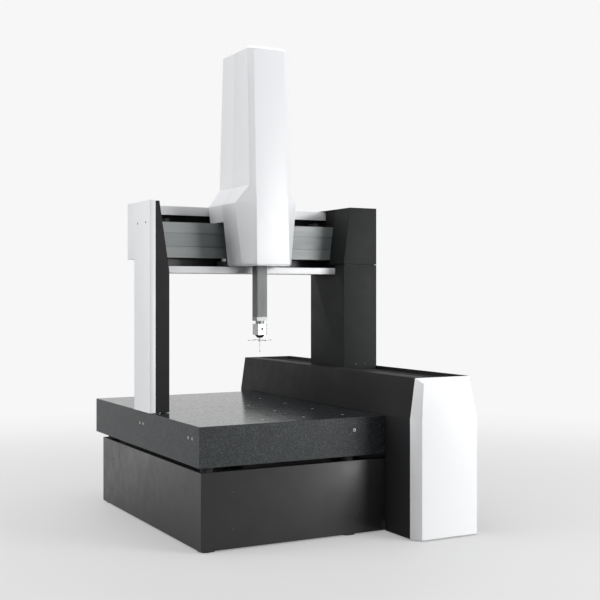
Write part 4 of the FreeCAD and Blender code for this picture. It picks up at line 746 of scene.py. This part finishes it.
tower_black = powder("tower_cover_paint", (0.025, 0.026, 0.026), 0.5, 0.06, 0.0016, 0.00003)
for name in ("tower_lower_cover", "tower_upper_cover"):
    dress(rounded(name, 0.0014), tower_black)
motor_black, tree, shader = coat("motor_enamel", (0.02, 0.02, 0.021), 0.35, 0.0, 0.5)
sheen(tree, shader, 0.28, 0.45, 0.01, 4.0)
relief(tree, shader, grain(tree, 0.0015, 2.0), 0.00003)
paint(motor_black, "y_drive_motor", "x_drive_motor", "z_drive_motor")
reader, tree, shader = coat("readhead_body", (0.12, 0.13, 0.15), 0.4, 0.2)
mottle(tree, shader, (0.09, 0.10, 0.12), (0.15, 0.16, 0.18), 0.01)
paint(reader, "y_readhead", "carriage_readheads")

# ---------------------------------------------------------------- head carriage
# A hook-shaped aluminium plate rides over the beam on air bearings and carries the ram's sleeve.
# Motors, rollers and the air counterbalance are bolted to it, all under the white head cover.

milled, tree, shader = coat("milled_aluminium", (0.60, 0.61, 0.62), 0.32, 1.0)
sheen(tree, shader, 0.24, 0.42, 0.003, 4.0, (0.1, 1.0, 1.0))
relief(tree, shader, grain(tree, 0.0012, 2.0, (0.05, 1.0, 1.0)), 0.00001)
carriage_dark = powder("carriage_anodising", (0.075, 0.08, 0.082), 0.42, 0.3, 0.0012, 0.00002)
paint(carriage_dark, "carriage_frame")
paint(milled, "ram_guide", "counterbalance_cylinder")

# ---------------------------------------------------------------- head cover
# Two moulded shells, white with a faint blue tone, meet on a thin seam behind the ram.
# Flat facets spread from a narrow foot to the shoulder and draw in again towards the top.

head_white = powder("white_head_moulding", (0.745, 0.755, 0.775), 0.34, 0.4, 0.002, 0.00002, 0.05)
CROWN, CROWN_RISE, CROWN_DRAW = 2775, 16, 13
HEAD_X, HEAD_Y, HALF_WIDTH, HALF_DEPTH = 680, 683, 132, 123


def crown(x, y, z):
    """The topmost 16 mm draw in by 13 mm towards the middle of the head."""
    if z > CROWN - 9:
        x = HEAD_X + (x - HEAD_X) * (1 - CROWN_DRAW / HALF_WIDTH)
        y = HEAD_Y + (y - HEAD_Y) * (1 - CROWN_DRAW / HALF_DEPTH)
    return x, y, z


for name in ("head_front_cover", "head_rear_cover"):
    dress(rounded(name, 0.0016, 3, 9.0, crown, CROWN - CROWN_RISE), head_white)
dress(rounded("head_bottom_plate", 0.0012), head_white)

# ---------------------------------------------------------------- ram and sensor
# A square ram with ground faces, light grey. A quick-change plate carries the scanning sensor:
# a silver body with a small dark window, a black cone below it, and the star stylus.

ram_grey, tree, shader = coat("ground_ram", (0.14, 0.147, 0.145), 0.4, 0.0, 0.35)
sheen(tree, shader, 0.3, 0.46, 0.004, 4.0, (1.0, 1.0, 0.03))
mottle(tree, shader, (0.125, 0.132, 0.130), (0.150, 0.158, 0.155), 0.01, 5.0, (1.0, 1.0, 0.02))
relief(tree, shader, grain(tree, 0.0008, 2.0, (1.0, 1.0, 0.02)), 0.00001)
paint(ram_grey, "ram_tube")
silver, tree, shader = coat("sensor_silver", (0.40, 0.405, 0.41), 0.32, 0.8)
sheen(tree, shader, 0.24, 0.38, 0.002, 4.0)
relief(tree, shader, grain(tree, 0.0006, 2.0), 0.00001)
paint(silver, "probe_body")
adapter, tree, shader = coat("sensor_adapter", (0.20, 0.205, 0.21), 0.36, 0.7)
sheen(tree, shader, 0.3, 0.44, 0.002, 4.0)
paint(adapter, "probe_adapter")


def round_window(name, place, radius=0.006, height=0.0012, ring=0.0018, sides=24):
    """A round window facing forward: a raised ring, then a dome whose height falls with the square
    of the distance from its middle."""
    turns = np.arange(sides) * 2 * np.pi / sides
    distance = np.array([radius + ring, radius + ring, radius, radius,
                         radius * 0.8, radius * 0.5, radius * 0.02])
    dome = height * 0.8 * (1 - (distance[3:] / radius) ** 2)
    lift = np.concatenate([[0.0, height, height, 0.0], dome[1:]])
    points = out_of("y", np.repeat(lift[:, None], sides, 1),
                    np.outer(distance, np.cos(turns)), np.outer(distance, np.sin(turns))) + place
    last = (len(distance) - 1) * sides
    caps = [list(range(start, start + sides)) for start in (0, last)]
    faces = list(grid_faces(len(distance), sides, True)) + caps
    return outward(mesh_object(name, points, faces, False))


sensor_black, tree, shader = coat("sensor_black", (0.02, 0.02, 0.021), 0.3, 0.0, 0.5)
sheen(tree, shader, 0.24, 0.4, 0.004, 4.0)
relief(tree, shader, grain(tree, 0.001, 2.0), 0.00002)
paint(sensor_black, "probe_cone", "stylus_gimbal")
window = dress(round_window("sensor_window", spot(HEAD_X, 649, 1121)), sensor_black)
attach(window, nodes["probe_body"]["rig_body"])
shaft_white, tree, shader = coat("ceramic_shaft", (0.62, 0.62, 0.60), 0.25, 0.2)
sheen(tree, shader, 0.2, 0.32, 0.002, 4.0)
paint(shaft_white, "star_stylus")
ruby, tree, shader = coat("ruby", (0.45, 0.01, 0.04), 0.06)
shader.inputs["Transmission Weight"].default_value = 0.35
sheen(tree, shader, 0.05, 0.09, 0.002, 2.0)
paint(ruby, "stylus_tips")
